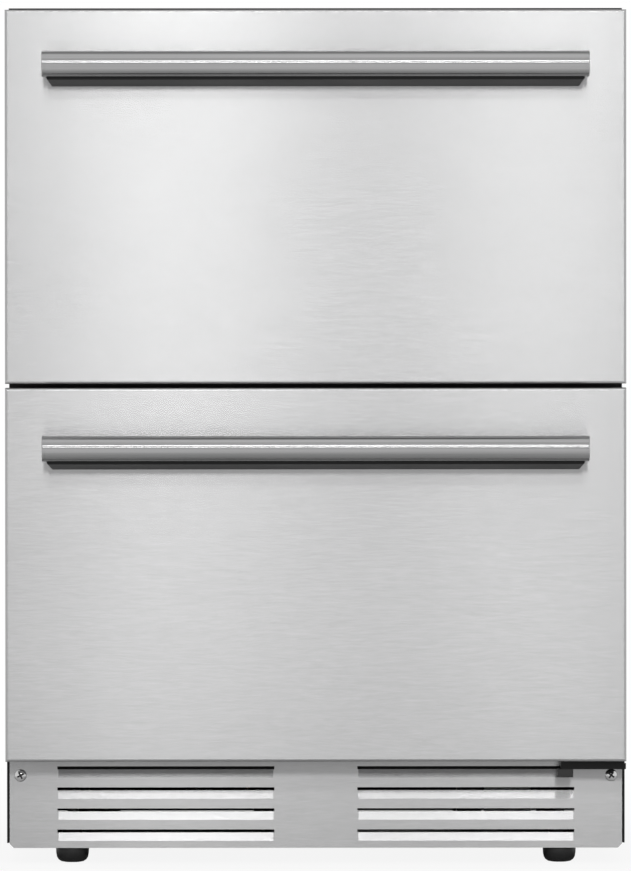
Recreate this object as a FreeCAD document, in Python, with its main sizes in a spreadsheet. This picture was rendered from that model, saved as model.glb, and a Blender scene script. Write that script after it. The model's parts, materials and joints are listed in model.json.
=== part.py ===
"""Undercounter refrigerator with two pull-out drawers.

Frame: +Z up, the drawer fronts face -Y, the origin lies on the floor under the middle of the
overall box. Lengths are in millimetres.
"""
import FreeCAD, Part
import math
import os
import re
import Sketcher

Vector = FreeCAD.Vector
Rotation = FreeCAD.Rotation

doc = FreeCAD.newDocument("drawer_refrigerator")
sheet = doc.addObject("Spreadsheet::Sheet", "sizes")

# ------------------------------------------------------------------ driving sizes
SIZES = {
    # outside
    "cabinet_width": 590,
    "cabinet_depth": 525,
    "front_overhang": 2.5,
    "front_height": 358,
    "front_thickness": 42,
    "front_gap": 4,
    "front_bottom": 100,
    "top_reveal": 3,
    "seal_gap": 10,
    "base_side_gap": 0.5,
    "floor_gap": 19.3,
    # sheet metal and insulation
    "panel_sheet": 1,
    "base_sheet": 2,
    "side_return": 20,
    "top_skirt": 20,
    "wall_insulation": 50,
    "roof_insulation": 45,
    "back_insulation": 50,
    "machine_insulation": 30,
    "sill_height": 25,
    "sill_notch": 14,
    "liner_wall": 2,
    "duct_height": 66,
    "machine_room": 20,
    "machine_height": 214,
    "mullion_height": 48,
    "mullion_depth": 40,
    "mullion_sheet": 1.5,
    # kick plate
    "kick_side_gap": 2.5,
    "kick_bottom": 14.4,
    "kick_rise": 3,
    "kick_sheet": 1,
    "kick_return": 3,
    "kick_flange": 8,
    "kick_corner": 4,
    "louvre_margin": 46,
    "louvre_centre": 80,
    "louvre_border": 6.8,
    "louvre_top_border": 9.9,
    "louvre_count": 4,
    "louvre_slot": 3,
    "blade_height": 8,
    "blade_depth": 2.5,
    "kick_screw_inset": 10.5,
    "kick_screw_drop": 18.6,
    "kick_head": 12,
    "kick_head_height": 3,
    "kick_shank": 5,
    "kick_screw_length": 10,
    # screws that hold covers, brackets and handles
    "small_head": 8,
    "small_head_height": 2.4,
    "small_shank": 4,
    "screw_clearance": 0.2,
    # corner bracket below the lower front
    "bracket_length": 60,
    "bracket_plate": 3.5,
    "bracket_lip": 7.5,
    "bracket_reach": 40,
    "bracket_leg_gap": 1.5,
    "bracket_leg_height": 48,
    "bracket_leg_sheet": 2.5,
    "bracket_clearance": 0.5,
    "bracket_pin": 6,
    "stop_width": 14.5,
    "stop_height": 7,
    "stop_depth": 16,
    "stop_round": 1.5,
    # drawer fronts
    "skin_sheet": 1,
    "skin_fold": 2.5,
    "inner_panel": 3,
    "plug_depth": 14,
    "plug_side_gap": 5,
    "plug_level_gap": 5,
    "plug_draft": 3,
    "gasket_width": 16,
    "gasket_side_margin": 19.5,
    "gasket_level_margin": 6,
    "gasket_clearance": 0.3,
    "gasket_rib": 2,
    "gasket_rib_depth": 2,
    # handles
    "bar_diameter": 25,
    "bar_length": 522,
    "bar_wall": 2,
    "bar_standoff": 38,
    "upper_bar_drop": 53,
    "lower_bar_drop": 57.5,
    "bar_cap": 3,
    "bar_edge": 0.8,
    "bar_seam": 0.5,
    "web_inset": 4,
    "web_taper": 5,
    "web_drop": 20.5,
    "web_sheet": 2.5,
    "web_rise": 10,
    "handle_screw_inset": 39.5,
    # bins, their frames and the slides
    "upper_rim_drop": 130,
    "lower_rim_drop": 43,
    "upper_floor_gap": 8,
    "lower_floor_gap": 14,
    "bin_wall": 3,
    "bin_draft": 6,
    "bin_round": 12,
    "rim_thickness": 3,
    "rim_overlap": 12,
    "bin_fit": 0.3,
    "frame_sheet": 2,
    "frame_web": 47,
    "slide_rear_room": 36.7,
    "slide_height": 45,
    "slide_thickness": 13,
    "slide_sheet": 1.5,
    "slide_clearance": 0.8,
    "slide_lip_gap": 1,
    "slide_lip_step": 1.2,
    "step_clearance": 10,
    # levelling feet
    "foot_diameter": 32,
    "foot_tip": 24,
    "foot_height": 11.5,
    "foot_edge": 1,
    "stem_diameter": 10,
    "stem_length": 52,
    "thread_clearance": 0.1,
    "foot_inset": 62.5,
    "front_foot_setback": 20,
    "rear_foot_setback": 22,
    "nut_diameter": 20,
    "nut_height": 14,
    # machine compartment
    "compressor_diameter": 150,
    "compressor_height": 150,
    "compressor_foot_gap": 5,
    "shell_base_inset": 14,
    "shell_base_rise": 18,
    "shell_round": 30,
    "seam_level": 78,
    "seam_width": 8,
    "seam_lip": 3,
    "compressor_plate": 190,
    "compressor_plate_sheet": 3,
    "plate_setback": 4,
    "grommet_diameter": 24,
    "grommet_height": 14,
    "grommet_inset": 15,
    "terminal_overlap": 8,
    "terminal_level": 20,
    "terminal_width": 34,
    "terminal_depth": 44,
    "terminal_height": 60,
    "tray_width": 170,
    "tray_depth": 140,
    "tray_height": 22,
    "tray_wall": 1.5,
    "tray_round": 7.5,
    "tray_clearance": 0.3,
    "condenser_foot_gap": 9,
    "condenser_thickness": 44,
    "condenser_end_gap": 5.4,
    "condenser_height": 165,
    "condenser_fin": 0.8,
    "condenser_fins": 9,
    "condenser_tubes": 4,
    "condenser_tube": 8,
    "shroud_rim": 8,
    "shroud_gap": 6,
    "fan_diameter": 136,
    "fan_hub": 42,
    "fan_depth": 20,
    "fan_pitch": 32,
    "fan_chord": 34,
    "tip_pitch": 22,
    "tip_chord": 48,
    "fan_blade": 1.6,
    "fan_blades": 5,
    "fan_clearance": 4,
    "fan_gap": 2,
    "blade_root": 3,
    "motor_diameter": 48,
    "motor_length": 34,
    "motor_edge": 2,
    "shaft_diameter": 6,
    "shaft_clearance": 0.1,
    "strut_width": 8,
    "strut_thickness": 3,
    "drier_diameter": 19,
    "drier_length": 90,
    "drier_neck": 1,
    "pipe_diameter": 6.4,
    "pipe_bend": 9,
    "pipe_wall_gap": 10.6,
    "inlet_width": 32,
    "inlet_height": 26,
    "inlet_depth": 18,
    "vent_width": 5,
    "vent_height": 50,
    "vent_pitch": 14,
    "vent_count": 12,
    # cold side
    "cover_end_room": 50,
    "cover_bottom_gap": 20,
    "cover_top_gap": 34,
    "cover_depth": 34,
    "cover_wall": 2,
    "grille_gap": 8,
    "grille_drop": 90,
    "cover_slot": 6,
    "cover_slot_pitch": 14,
    "cover_slots": 8,
    "evaporator_length": 300,
    "evaporator_height": 180,
    "evaporator_thickness": 22,
    "evaporator_fin": 0.8,
    "evaporator_fins": 11,
    "evaporator_tubes": 4,
    "evaporator_tube": 8,
    "cold_fan_diameter": 96,
    "cold_fan_hub": 30,
    "cold_fan_depth": 8,
    "cold_chord": 14,
    "cold_tip_chord": 19,
    "cold_motor_diameter": 34,
    "cold_motor_length": 12,
    "lamp_width": 180,
    "lamp_depth": 22,
    "lamp_height": 6,
    "lamp_setback": 95,
    "control_width": 220,
    "control_depth": 56,
    "control_height": 10,
    "control_setback": 8,
}

for row, (alias, value) in enumerate(SIZES.items(), start=1):
    sheet.set("A%d" % row, alias)
    sheet.set("B%d" % row, str(value))
    sheet.setAlias("B%d" % row, alias)
doc.recompute()

# ------------------------------------------------------------------ places, as formulas
# Y, from the fronts to the back
FLANGE = ("((seal_gap + front_thickness + bar_standoff + bar_diameter/2"
          " - cabinet_depth - small_head_height)/2)")
BACK = f"({FLANGE} + cabinet_depth)"
FRONT_BACK = f"({FLANGE} - seal_gap)"
FACE = f"({FRONT_BACK} - front_thickness)"
PLUG_BACK = f"({FRONT_BACK} + plug_depth)"
CAVITY_BACK = f"({BACK} - back_insulation)"
MACHINE_DEPTH = "(compressor_diameter + 2*machine_room)"
MACHINE_FRONT = f"({BACK} - {MACHINE_DEPTH})"
STEP_FRONT = f"({MACHINE_FRONT} - machine_insulation)"
COVER_FRONT = f"({CAVITY_BACK} - cover_depth)"
SILL_BACK = f"({FLANGE} + sill_notch)"
# Z, from the floor up
BASE_TOP = "(floor_gap + base_sheet)"
DUCT_TOP = f"({BASE_TOP} + duct_height)"
MACHINE_TOP = f"({BASE_TOP} + machine_height)"
STEP_TOP = f"({MACHINE_TOP} + machine_insulation)"
KICK_TOP = "(front_bottom + kick_rise)"
SILL = f"({KICK_TOP} + panel_sheet)"
CAVITY_FLOOR = "(front_bottom + sill_height)"
LOWER_TOP = "(front_bottom + front_height)"
UPPER_BOTTOM = f"({LOWER_TOP} + front_gap)"
UPPER_TOP = f"({UPPER_BOTTOM} + front_height)"
TOP = f"({UPPER_TOP} + top_reveal)"
CAVITY_TOP = f"({TOP} - roof_insulation)"
MULLION_BOTTOM = f"({LOWER_TOP} + front_gap/2 - mullion_height/2)"
MULLION_TOP = f"({LOWER_TOP} + front_gap/2 + mullion_height/2)"
# X, half widths
SHELL = "(cabinet_width/2)"
FRONT_HALF = f"({SHELL} + front_overhang)"
BASE_INNER = f"({SHELL} + base_side_gap)"
BASE_HALF = f"({BASE_INNER} + base_sheet)"
KICK_HALF = f"({BASE_HALF} - kick_side_gap)"
FLANGE_REACH = f"({SHELL} - side_return)"
GASKET_HALF = f"({SHELL} - gasket_side_margin)"
CAVITY = "(cabinet_width/2 - wall_insulation)"
SLIDE_INNER = f"({CAVITY} - slide_thickness)"


# ------------------------------------------------------------------ modelling helpers
def cells(formula):
    """The formula with each size's name pointing at its cell."""
    def cell(word):
        return "sizes." + word.group() if word.group() in SIZES else word.group()
    return re.sub(r"[a-z][a-z_]*", cell, str(formula))


def bind(item, name, formula):
    item.setExpression(name, cells(formula))


def size(alias):
    return float(sheet.get(alias))


def new_body(node):
    body = doc.addObject("PartDesign::Body", node)
    body.Label = node
    return body


def origin_feature(body, role):
    for feature in body.Origin.OriginFeatures:
        if feature.Role == role:
            return feature
    raise ValueError("no origin feature " + role)


def rectangle(x_range, y_range):
    """The four corners between two ranges, each a pair of formulas."""
    (left, right), (low, high) = x_range, y_range
    return [(left, low), (right, low), (right, high), (left, high)]


def circle(across, up, diameter):
    return {"centre": (across, up), "diameter": diameter}


START_RADIUS = 100


def draw_polygon(sketch, corners):
    """Closed outline whose corners are held from the sketch's origin by the formulas."""
    first = sketch.GeometryCount
    count = len(corners)
    turns = [2*math.pi*index/count for index in range(count)]
    places = [Vector(math.cos(turn), math.sin(turn), 0)*START_RADIUS for turn in turns]
    lines = [Part.LineSegment(places[index], places[(index + 1) % count]) for index in range(count)]
    sketch.addGeometry(lines, False)
    joints = []
    for index in range(count):
        joints.append(Sketcher.Constraint("Coincident", first + index, 2, first + (index + 1) % count, 1))
    sketch.addConstraint(joints)
    for index, (across, up) in enumerate(corners):
        hold_point(sketch, first + index, 1, places[index], across, up)


def hold_point(sketch, geometry, point, place, across, up):
    for kind, start, formula in (("DistanceX", place.x, across), ("DistanceY", place.y, up)):
        number = sketch.addConstraint(Sketcher.Constraint(kind, -1, 1, geometry, point, start))
        sketch.setExpression("Constraints[%d]" % number, cells(formula))


def draw_circle(sketch, ring):
    geometry = sketch.addGeometry(Part.Circle(Vector(0, 0, 0), Vector(0, 0, 1), START_RADIUS), False)
    across, up = ring["centre"]
    hold_point(sketch, geometry, 3, Vector(0, 0, 0), across, up)
    number = sketch.addConstraint(Sketcher.Constraint("Diameter", geometry, 2*START_RADIUS))
    sketch.setExpression("Constraints[%d]" % number, cells(ring["diameter"]))


def new_sketch(body, plane, level, loops):
    sketch = body.newObject("Sketcher::SketchObject", body.Name + "_sketch")
    sketch.AttachmentSupport = [(origin_feature(body, plane + "_Plane"), "")]
    sketch.MapMode = "FlatFace"
    bind(sketch, "AttachmentOffset.Base.z", level)
    for loop in loops:
        if isinstance(loop, dict):
            draw_circle(sketch, loop)
        else:
            draw_polygon(sketch, loop)
    return sketch


def extrude(body, kind, plane, levels, loops):
    """Pad or pocket between two levels of the plane's own axis (XZ sketches look along -Y)."""
    start, end = levels
    level = end if (kind == "Pad") == (plane == "XZ") else start
    if plane == "XZ":
        level = f"-({level})"
    sketch = new_sketch(body, plane, level, loops)
    feature = body.newObject("PartDesign::" + kind, body.Name + "_" + kind.lower())
    feature.Profile = sketch
    bind(feature, "Length", f"({end}) - ({start})")
    body.Tip = feature
    return feature


def pad(body, plane, levels, *loops):
    return extrude(body, "Pad", plane, levels, loops)


def pocket(body, plane, levels, *loops):
    return extrude(body, "Pocket", plane, levels, loops)


def revolve(body, *corners):
    """Solid turned about the body's own Z axis, from an outline of (radius, level) corners."""
    sketch = new_sketch(body, "XZ", "0", [corners])
    feature = body.newObject("PartDesign::Revolution", body.Name + "_turn")
    feature.Profile = sketch
    feature.ReferenceAxis = (sketch, ["V_Axis"])
    feature.Angle = 360
    body.Tip = feature
    return feature


def repeat(body, feature, axis, pitch, count):
    pattern = body.newObject("PartDesign::LinearPattern", body.Name + "_row")
    pattern.Originals = [feature]
    pattern.Direction = (origin_feature(body, axis), [""])
    bind(pattern, "Length", f"({pitch})*({count} - 1)")
    bind(pattern, "Occurrences", count)
    body.Tip = pattern


def repeat_round(body, features, count):
    pattern = body.newObject("PartDesign::PolarPattern", body.Name + "_ring")
    pattern.Originals = features
    pattern.Axis = (origin_feature(body, "Z_Axis"), [""])
    pattern.Angle = 360
    bind(pattern, "Occurrences", count)
    body.Tip = pattern


def round_edges(body, radius, chosen, kind="Fillet", measure="Radius"):
    """Fillet or chamfer on the edges that chosen(edge, box) picks from the body so far."""
    doc.recompute()
    base = body.Tip
    box = base.Shape.BoundBox
    names = ["Edge%d" % number for number, edge in enumerate(base.Shape.Edges, start=1) if chosen(edge, box)]
    feature = body.newObject("PartDesign::" + kind, body.Name + "_" + kind.lower())
    feature.Base = (base, names)
    bind(feature, measure, radius)
    body.Tip = feature


def runs_along(edge, axis):
    if not isinstance(edge.Curve, Part.Line):
        return False
    return abs(abs(edge.Curve.Direction.dot(axis)) - 1) < 1e-6


def close_to(value, *targets):
    return any(abs(value - target) < 1e-4 for target in targets)


def place(item, across="0", along="0", up="0", turn=Rotation()):
    item.Placement = FreeCAD.Placement(Vector(0, 0, 0), turn)
    for letter, formula in (("x", across), ("y", along), ("z", up)):
        bind(item, "Placement.Base." + letter, formula)


def block(name, x_range, y_range, z_range):
    item = doc.addObject("Part::Box", name)
    for side, (start, end) in (("Length", x_range), ("Width", y_range), ("Height", z_range)):
        bind(item, side, f"({end}) - ({start})")
    place(item, x_range[0], y_range[0], z_range[0])
    return item


ALONG_X = Rotation(Vector(0, 1, 0), 90)
ALONG_Y = Rotation(Vector(1, 0, 0), -90)
ALONG_Y_BACK = Rotation(Vector(1, 0, 0), 90)
ALONG_Z = Rotation()


def rod(name, diameter, length, across, along, up, turn=ALONG_Z):
    """Cylinder that starts at the given place and runs along the turned axis."""
    item = doc.addObject("Part::Cylinder", name)
    bind(item, "Radius", f"({diameter})/2")
    bind(item, "Height", length)
    place(item, across, along, up, turn)
    return item


def joined(name, *items):
    result = doc.addObject("Part::MultiFuse", name)
    result.Shapes = list(items)
    return result


def grouped(name, *items):
    result = doc.addObject("Part::Compound", name)
    result.Links = list(items)
    return result


def cut_from(name, base, *tools):
    result = doc.addObject("Part::Cut", name)
    result.Base = base
    result.Tool = tools[0] if len(tools) == 1 else grouped(name + "_tools", *tools)
    return result


def mirrored(item):
    """The same piece on the other side of the middle plane."""
    result = doc.addObject("Part::Mirroring", item.Name + "_left")
    result.Source = item
    result.Normal = Vector(1, 0, 0)
    return result


def screw(name, head, head_height, shank, length, across, along, up, turn=ALONG_Y):
    """Pan-head screw: its seat lies at the given place and its shank runs along the turned axis."""
    body = new_body(name)
    revolve(body, ("0", f"-({head_height})"), (f"({head})/4", f"-({head_height})"),
            (f"({head})/2", f"-({head_height})/3"), (f"({head})/2", "0"), (f"({shank})/2", "0"),
            (f"({shank})/2", length), ("0", length))
    place(body, across, along, up, turn)
    return body


def small_screw(name, across, along, up, turn, length):
    return screw(name, "small_head", "small_head_height", "small_shank", length, across, along, up, turn)


parts = {}


def keep(node, item):
    item.Label = node
    parts[node] = item
    return item


# ------------------------------------------------------------------ places shared by several pieces
BRACKET_TOP = "(front_bottom - bracket_clearance)"
BRACKET_LEFT = f"({SHELL} - bracket_length)"
BRACKET_FRONT = f"({FLANGE} - bracket_reach)"
BRACKET_LEG_LEFT = f"({GASKET_HALF} + bracket_leg_gap)"
BRACKET_SCREW_X = f"(({BRACKET_LEG_LEFT} + {SHELL})/2)"


def bracket_screw_levels():
    top = f"({BRACKET_TOP} - bracket_lip + bracket_leg_height)"
    return [f"({top} - small_head)", f"({top} - 3*small_head)"]


def rear_screw_places(side):
    levels = [f"({BASE_TOP} + side_return/2)", f"({BASE_TOP} + machine_height/2)",
              f"({MACHINE_TOP} - side_return)"]
    return [(f"{side}*({SHELL} - side_return/2)", level) for level in levels]


# ------------------------------------------------------------------ cabinet shell
def side_panel(node, side):
    """Folded sheet with returns at its front and back edges, notched for the kick plate."""
    outer = f"{side}*{SHELL}"
    inner = f"{side}*({SHELL} - panel_sheet)"
    lip = f"{side}*({SHELL} - side_return)"
    front_lip = f"({FLANGE} + panel_sheet)"
    rear = f"({BACK} - panel_sheet)"
    rear_lip = f"({rear} - panel_sheet)"
    body = new_body(node)
    pad(body, "XY", (BASE_TOP, f"{TOP} - panel_sheet"),
        [(outer, FLANGE), (lip, FLANGE), (lip, front_lip), (inner, front_lip),
         (inner, rear_lip), (lip, rear_lip), (lip, rear), (outer, rear)])
    notch_ends = (lip, outer) if side > 0 else (outer, lip)
    pocket(body, "YZ", notch_ends, rectangle((FLANGE, f"{SILL_BACK} - panel_sheet"), (BASE_TOP, SILL)))
    hole = "small_shank + 2*screw_clearance"
    for across, level in rear_screw_places(side):
        pocket(body, "XZ", (rear_lip, rear), circle(across, level, hole))
    if side > 0:
        for level in bracket_screw_levels():
            pocket(body, "XZ", (FLANGE, front_lip), circle(BRACKET_SCREW_X, level, hole))
    keep(node, body)


def top_panel():
    body = new_body("top_panel")
    pad(body, "XY", (f"{TOP} - panel_sheet", TOP), rectangle((f"-{SHELL}", SHELL), (FLANGE, BACK)))
    pad(body, "XZ", (FLANGE, f"{FLANGE} + panel_sheet"),
        rectangle((f"-{FLANGE_REACH}", FLANGE_REACH),
                  (f"{TOP} - panel_sheet - top_skirt", f"{TOP} - panel_sheet")))
    keep("top_panel", body)


def back_panel():
    body = new_body("back_panel")
    pad(body, "XZ", (f"{BACK} - panel_sheet", BACK),
        rectangle((f"-{SHELL}", SHELL), (MACHINE_TOP, f"{TOP} - panel_sheet")))
    keep("back_panel", body)


def stepped_floor_panel():
    """Bent sheet under the insulation: sill, duct ceiling and the walls of the machine space."""
    body = new_body("stepped_floor_panel")
    start = f"({FLANGE} + liner_wall)"
    end = f"({BACK} - 2*panel_sheet)"
    reach = f"({SHELL} - panel_sheet)"
    pad(body, "YZ", (f"-{reach}", reach),
        [(start, SILL), (SILL_BACK, SILL), (SILL_BACK, DUCT_TOP), (MACHINE_FRONT, DUCT_TOP),
         (MACHINE_FRONT, MACHINE_TOP), (end, MACHINE_TOP), (end, f"{MACHINE_TOP} + panel_sheet"),
         (f"{MACHINE_FRONT} - panel_sheet", f"{MACHINE_TOP} + panel_sheet"),
         (f"{MACHINE_FRONT} - panel_sheet", f"{DUCT_TOP} + panel_sheet"),
         (f"{SILL_BACK} + panel_sheet", f"{DUCT_TOP} + panel_sheet"),
         (f"{SILL_BACK} + panel_sheet", f"{SILL} + panel_sheet"), (start, f"{SILL} + panel_sheet")])
    keep("stepped_floor_panel", body)


def liner_outline(wall):
    """Side view of the cold space, with the step over the machine space; wall grows it outwards."""
    back = f"({CAVITY_BACK} + {wall})"
    return [(FLANGE, f"{CAVITY_FLOOR} - {wall}"), (f"{STEP_FRONT} + {wall}", f"{CAVITY_FLOOR} - {wall}"),
            (f"{STEP_FRONT} + {wall}", f"{STEP_TOP} - {wall}"), (back, f"{STEP_TOP} - {wall}"),
            (back, f"{CAVITY_TOP} + {wall}"), (FLANGE, f"{CAVITY_TOP} + {wall}")]


def inner_liner():
    """Moulded tub open to the front; the flange round its mouth is notched for the cross rail's ends."""
    body = new_body("inner_liner")
    outer = f"({CAVITY} + liner_wall)"
    flange = (FLANGE, f"{FLANGE} + liner_wall")
    pad(body, "YZ", (f"-{outer}", outer), liner_outline("liner_wall"))
    pad(body, "XZ", flange,
        rectangle((f"-{FLANGE_REACH}", FLANGE_REACH),
                  (f"{SILL} + panel_sheet", f"{TOP} - panel_sheet - top_skirt")))
    pocket(body, "YZ", (f"-{CAVITY}", CAVITY), liner_outline("0"))
    pocket(body, "XZ", flange, rectangle((f"-{FLANGE_REACH}", FLANGE_REACH), (MULLION_BOTTOM, MULLION_TOP)))
    keep("inner_liner", body)


def insulation_foam():
    body = new_body("insulation_foam")
    reach = f"({SHELL} - panel_sheet)"
    front = f"({FLANGE} + liner_wall)"
    back = f"({BACK} - 2*panel_sheet)"
    pad(body, "YZ", (f"-{reach}", reach),
        [(front, f"{SILL} + panel_sheet"), (f"{SILL_BACK} + panel_sheet", f"{SILL} + panel_sheet"),
         (f"{SILL_BACK} + panel_sheet", f"{DUCT_TOP} + panel_sheet"),
         (f"{MACHINE_FRONT} - panel_sheet", f"{DUCT_TOP} + panel_sheet"),
         (f"{MACHINE_FRONT} - panel_sheet", f"{MACHINE_TOP} + panel_sheet"),
         (back, f"{MACHINE_TOP} + panel_sheet"), (back, f"{TOP} - panel_sheet"),
         (front, f"{TOP} - panel_sheet")])
    outer = f"({CAVITY} + liner_wall)"
    pocket(body, "YZ", (f"-{outer}", outer), liner_outline("liner_wall"))
    keep("insulation_foam", body)


def front_mullion():
    """Cross rail between the two drawers: a folded channel whose face reaches the side returns."""
    body = new_body("front_mullion")
    pad(body, "YZ", (f"-{CAVITY}", CAVITY),
        rectangle((FLANGE, f"{FLANGE} + mullion_depth"), (MULLION_BOTTOM, MULLION_TOP)))
    pocket(body, "YZ", (f"-{CAVITY}", CAVITY),
           rectangle((f"{FLANGE} + mullion_sheet", f"{FLANGE} + mullion_depth"),
                     (f"{MULLION_BOTTOM} + mullion_sheet", f"{MULLION_TOP} - mullion_sheet")))
    for side in (1, -1):
        pad(body, "XZ", (FLANGE, f"{FLANGE} + mullion_sheet"),
            rectangle((f"{side}*{CAVITY}", f"{side}*{FLANGE_REACH}"), (MULLION_BOTTOM, MULLION_TOP)))
    keep("front_mullion", body)


FOOT_X = f"({BASE_HALF} - foot_inset)"
FOOT_PLACES = {}
for side_name, side in (("left", -1), ("right", 1)):
    across = f"{side}*{FOOT_X}"
    FOOT_PLACES["front_" + side_name] = (across, f"({FLANGE} + front_foot_setback)")
    FOOT_PLACES["rear_" + side_name] = (across, f"({BACK} - rear_foot_setback)")


KICK_SCREW_X = f"({KICK_HALF} - kick_screw_inset)"
KICK_SCREW_LEVEL = f"({KICK_TOP} - kick_screw_drop)"


def base_frame():
    """Tray under the cabinet: floor plate, side walls, kick plate tabs and foot nuts."""
    body = new_body("base_frame")
    pad(body, "XZ", (FLANGE, BACK),
        [(f"-{BASE_HALF}", "floor_gap"), (BASE_HALF, "floor_gap"), (BASE_HALF, "front_bottom"),
         (BASE_INNER, "front_bottom"), (BASE_INNER, BASE_TOP), (f"-{BASE_INNER}", BASE_TOP),
         (f"-{BASE_INNER}", "front_bottom"), (f"-{BASE_HALF}", "front_bottom")])
    tab_front = f"({FLANGE} + kick_return + bin_fit)"
    pocket(body, "XZ", (FLANGE, tab_front),
           rectangle((f"-{BASE_INNER}", BASE_INNER), ("floor_gap", BASE_TOP)))
    for side in (1, -1):
        ends = (f"{side}*({BASE_INNER} - side_return)", f"{side}*{BASE_INNER}")
        pad(body, "XZ", (tab_front, f"{tab_front} + base_sheet"), rectangle(ends, (BASE_TOP, "front_bottom")))
        pocket(body, "XZ", (tab_front, f"{tab_front} + base_sheet"),
               circle(f"{side}*{KICK_SCREW_X}", KICK_SCREW_LEVEL, "kick_shank + screw_clearance"))
    for across, along in FOOT_PLACES.values():
        pad(body, "XY", (BASE_TOP, f"{BASE_TOP} + nut_height"), circle(across, along, "nut_diameter"))
    for across, along in FOOT_PLACES.values():
        pocket(body, "XY", ("floor_gap", f"{BASE_TOP} + nut_height"),
               circle(across, along, "stem_diameter + 2*thread_clearance"))
    keep("base_frame", body)


def levelling_foot(node, across, along):
    """Pad turned under a threaded stem; it screws down out of its nut."""
    body = new_body(node)
    revolve(body, ("0", "0"), ("foot_tip/2", "0"), ("foot_diameter/2 - foot_edge", "foot_height/2"),
            ("foot_diameter/2", "foot_height - 2*foot_edge"), ("foot_diameter/2 - foot_edge", "foot_height"),
            ("stem_diameter/2", "foot_height"), ("stem_diameter/2", "foot_height + stem_length"),
            ("0", "foot_height + stem_length"))
    place(body, across, along, "0")
    keep(node, body)


# ------------------------------------------------------------------ kick plate with pressed louvres
def kick_plate():
    body = new_body("kick_plate")
    half = KICK_HALF
    rear = f"({FLANGE} + kick_sheet)"
    sheet_levels = (FLANGE, rear)
    pad(body, "XZ", sheet_levels,
        [(f"-{half} + kick_corner", "kick_bottom"), (f"{half} - kick_corner", "kick_bottom"),
         (half, "kick_bottom + kick_corner"), (half, KICK_TOP), (f"-{half}", KICK_TOP),
         (f"-{half}", "kick_bottom + kick_corner")])
    for side in (1, -1):
        pad(body, "XZ", (rear, f"{FLANGE} + kick_return"),
            rectangle((f"{side}*({half} - kick_sheet)", f"{side}*{half}"),
                      ("kick_bottom + kick_corner", KICK_TOP)))
    pad(body, "XZ", (rear, f"{FLANGE} + kick_flange"),
        rectangle((f"-{half}", half), (f"{KICK_TOP} - kick_sheet", KICK_TOP)))
    for side in (1, -1):
        pocket(body, "XZ", sheet_levels,
               circle(f"{side}*{KICK_SCREW_X}", KICK_SCREW_LEVEL, "kick_shank + 2*screw_clearance"))
    for side in (1, -1):
        press_louvres(body, side, sheet_levels)
    keep("kick_plate", body)


def press_louvres(body, side, sheet_levels):
    """One window: slots cut in the sheet, each closed below by a blade that leans back."""
    near = f"{side}*louvre_centre/2"
    far = f"{side}*({KICK_HALF} - louvre_margin)"
    left, right = (near, far) if side > 0 else (far, near)
    foot = "(kick_bottom + louvre_border)"
    shoulder = f"({foot} + blade_height)"
    last_foot = f"({KICK_TOP} - louvre_top_border - louvre_slot - blade_height)"
    pitch = f"(({last_foot} - {foot})/(louvre_count - 1))"
    opening = pocket(body, "XZ", sheet_levels, rectangle((left, right), (foot, f"{shoulder} + louvre_slot")))
    repeat(body, opening, "Z_Axis", pitch, "louvre_count")
    blade = pad(body, "YZ", (left, right),
                [(FLANGE, foot), (f"{FLANGE} + kick_sheet", foot),
                 (f"{FLANGE} + blade_depth + kick_sheet", shoulder), (f"{FLANGE} + blade_depth", shoulder)])
    repeat(body, blade, "Z_Axis", pitch, "louvre_count")
    for start, end in ((left, f"{left} + kick_sheet"), (f"{right} - kick_sheet", right)):
        cheek = pad(body, "YZ", (start, end),
                    [(FLANGE, foot), (f"{FLANGE} + blade_depth", shoulder), (FLANGE, shoulder)])
        repeat(body, cheek, "Z_Axis", pitch, "louvre_count")


def kick_plate_screws():
    screws = []
    for name, side in (("kick_screw_right", 1), ("kick_screw_left", -1)):
        screws.append(screw(name, "kick_head", "kick_head_height", "kick_shank", "kick_screw_length",
                            f"{side}*{KICK_SCREW_X}", FLANGE, KICK_SCREW_LEVEL))
    keep("kick_plate_screws", grouped("kick_screw_pair", *screws))


# ------------------------------------------------------------------ corner bracket under the lower front
def corner_bracket():
    """Angle plate at the lower right: a leg on the flange, a shelf with a lip and an upright pin."""
    body = new_body("corner_bracket")
    leg_front = f"({FLANGE} - bracket_leg_sheet)"
    bottom = f"({BRACKET_TOP} - bracket_lip)"
    pad(body, "XY", (f"{BRACKET_TOP} - bracket_plate", BRACKET_TOP),
        rectangle((BRACKET_LEFT, SHELL), (BRACKET_FRONT, FLANGE)))
    pad(body, "XZ", (BRACKET_FRONT, f"{BRACKET_FRONT} + bracket_plate"),
        rectangle((BRACKET_LEFT, SHELL), (bottom, BRACKET_TOP)))
    pad(body, "XZ", (leg_front, FLANGE),
        rectangle((BRACKET_LEG_LEFT, SHELL), (bottom, f"{bottom} + bracket_leg_height")))
    pad(body, "XY", (bottom, f"{BRACKET_TOP} - bracket_plate/2"),
        circle(f"{BASE_HALF} - bracket_pin/2", f"{BRACKET_FRONT} + bracket_pin/2", "bracket_pin"))
    for level in bracket_screw_levels():
        pocket(body, "XZ", (leg_front, FLANGE),
               circle(BRACKET_SCREW_X, level, "small_shank + 2*screw_clearance"))
    keep("corner_bracket", body)


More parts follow.
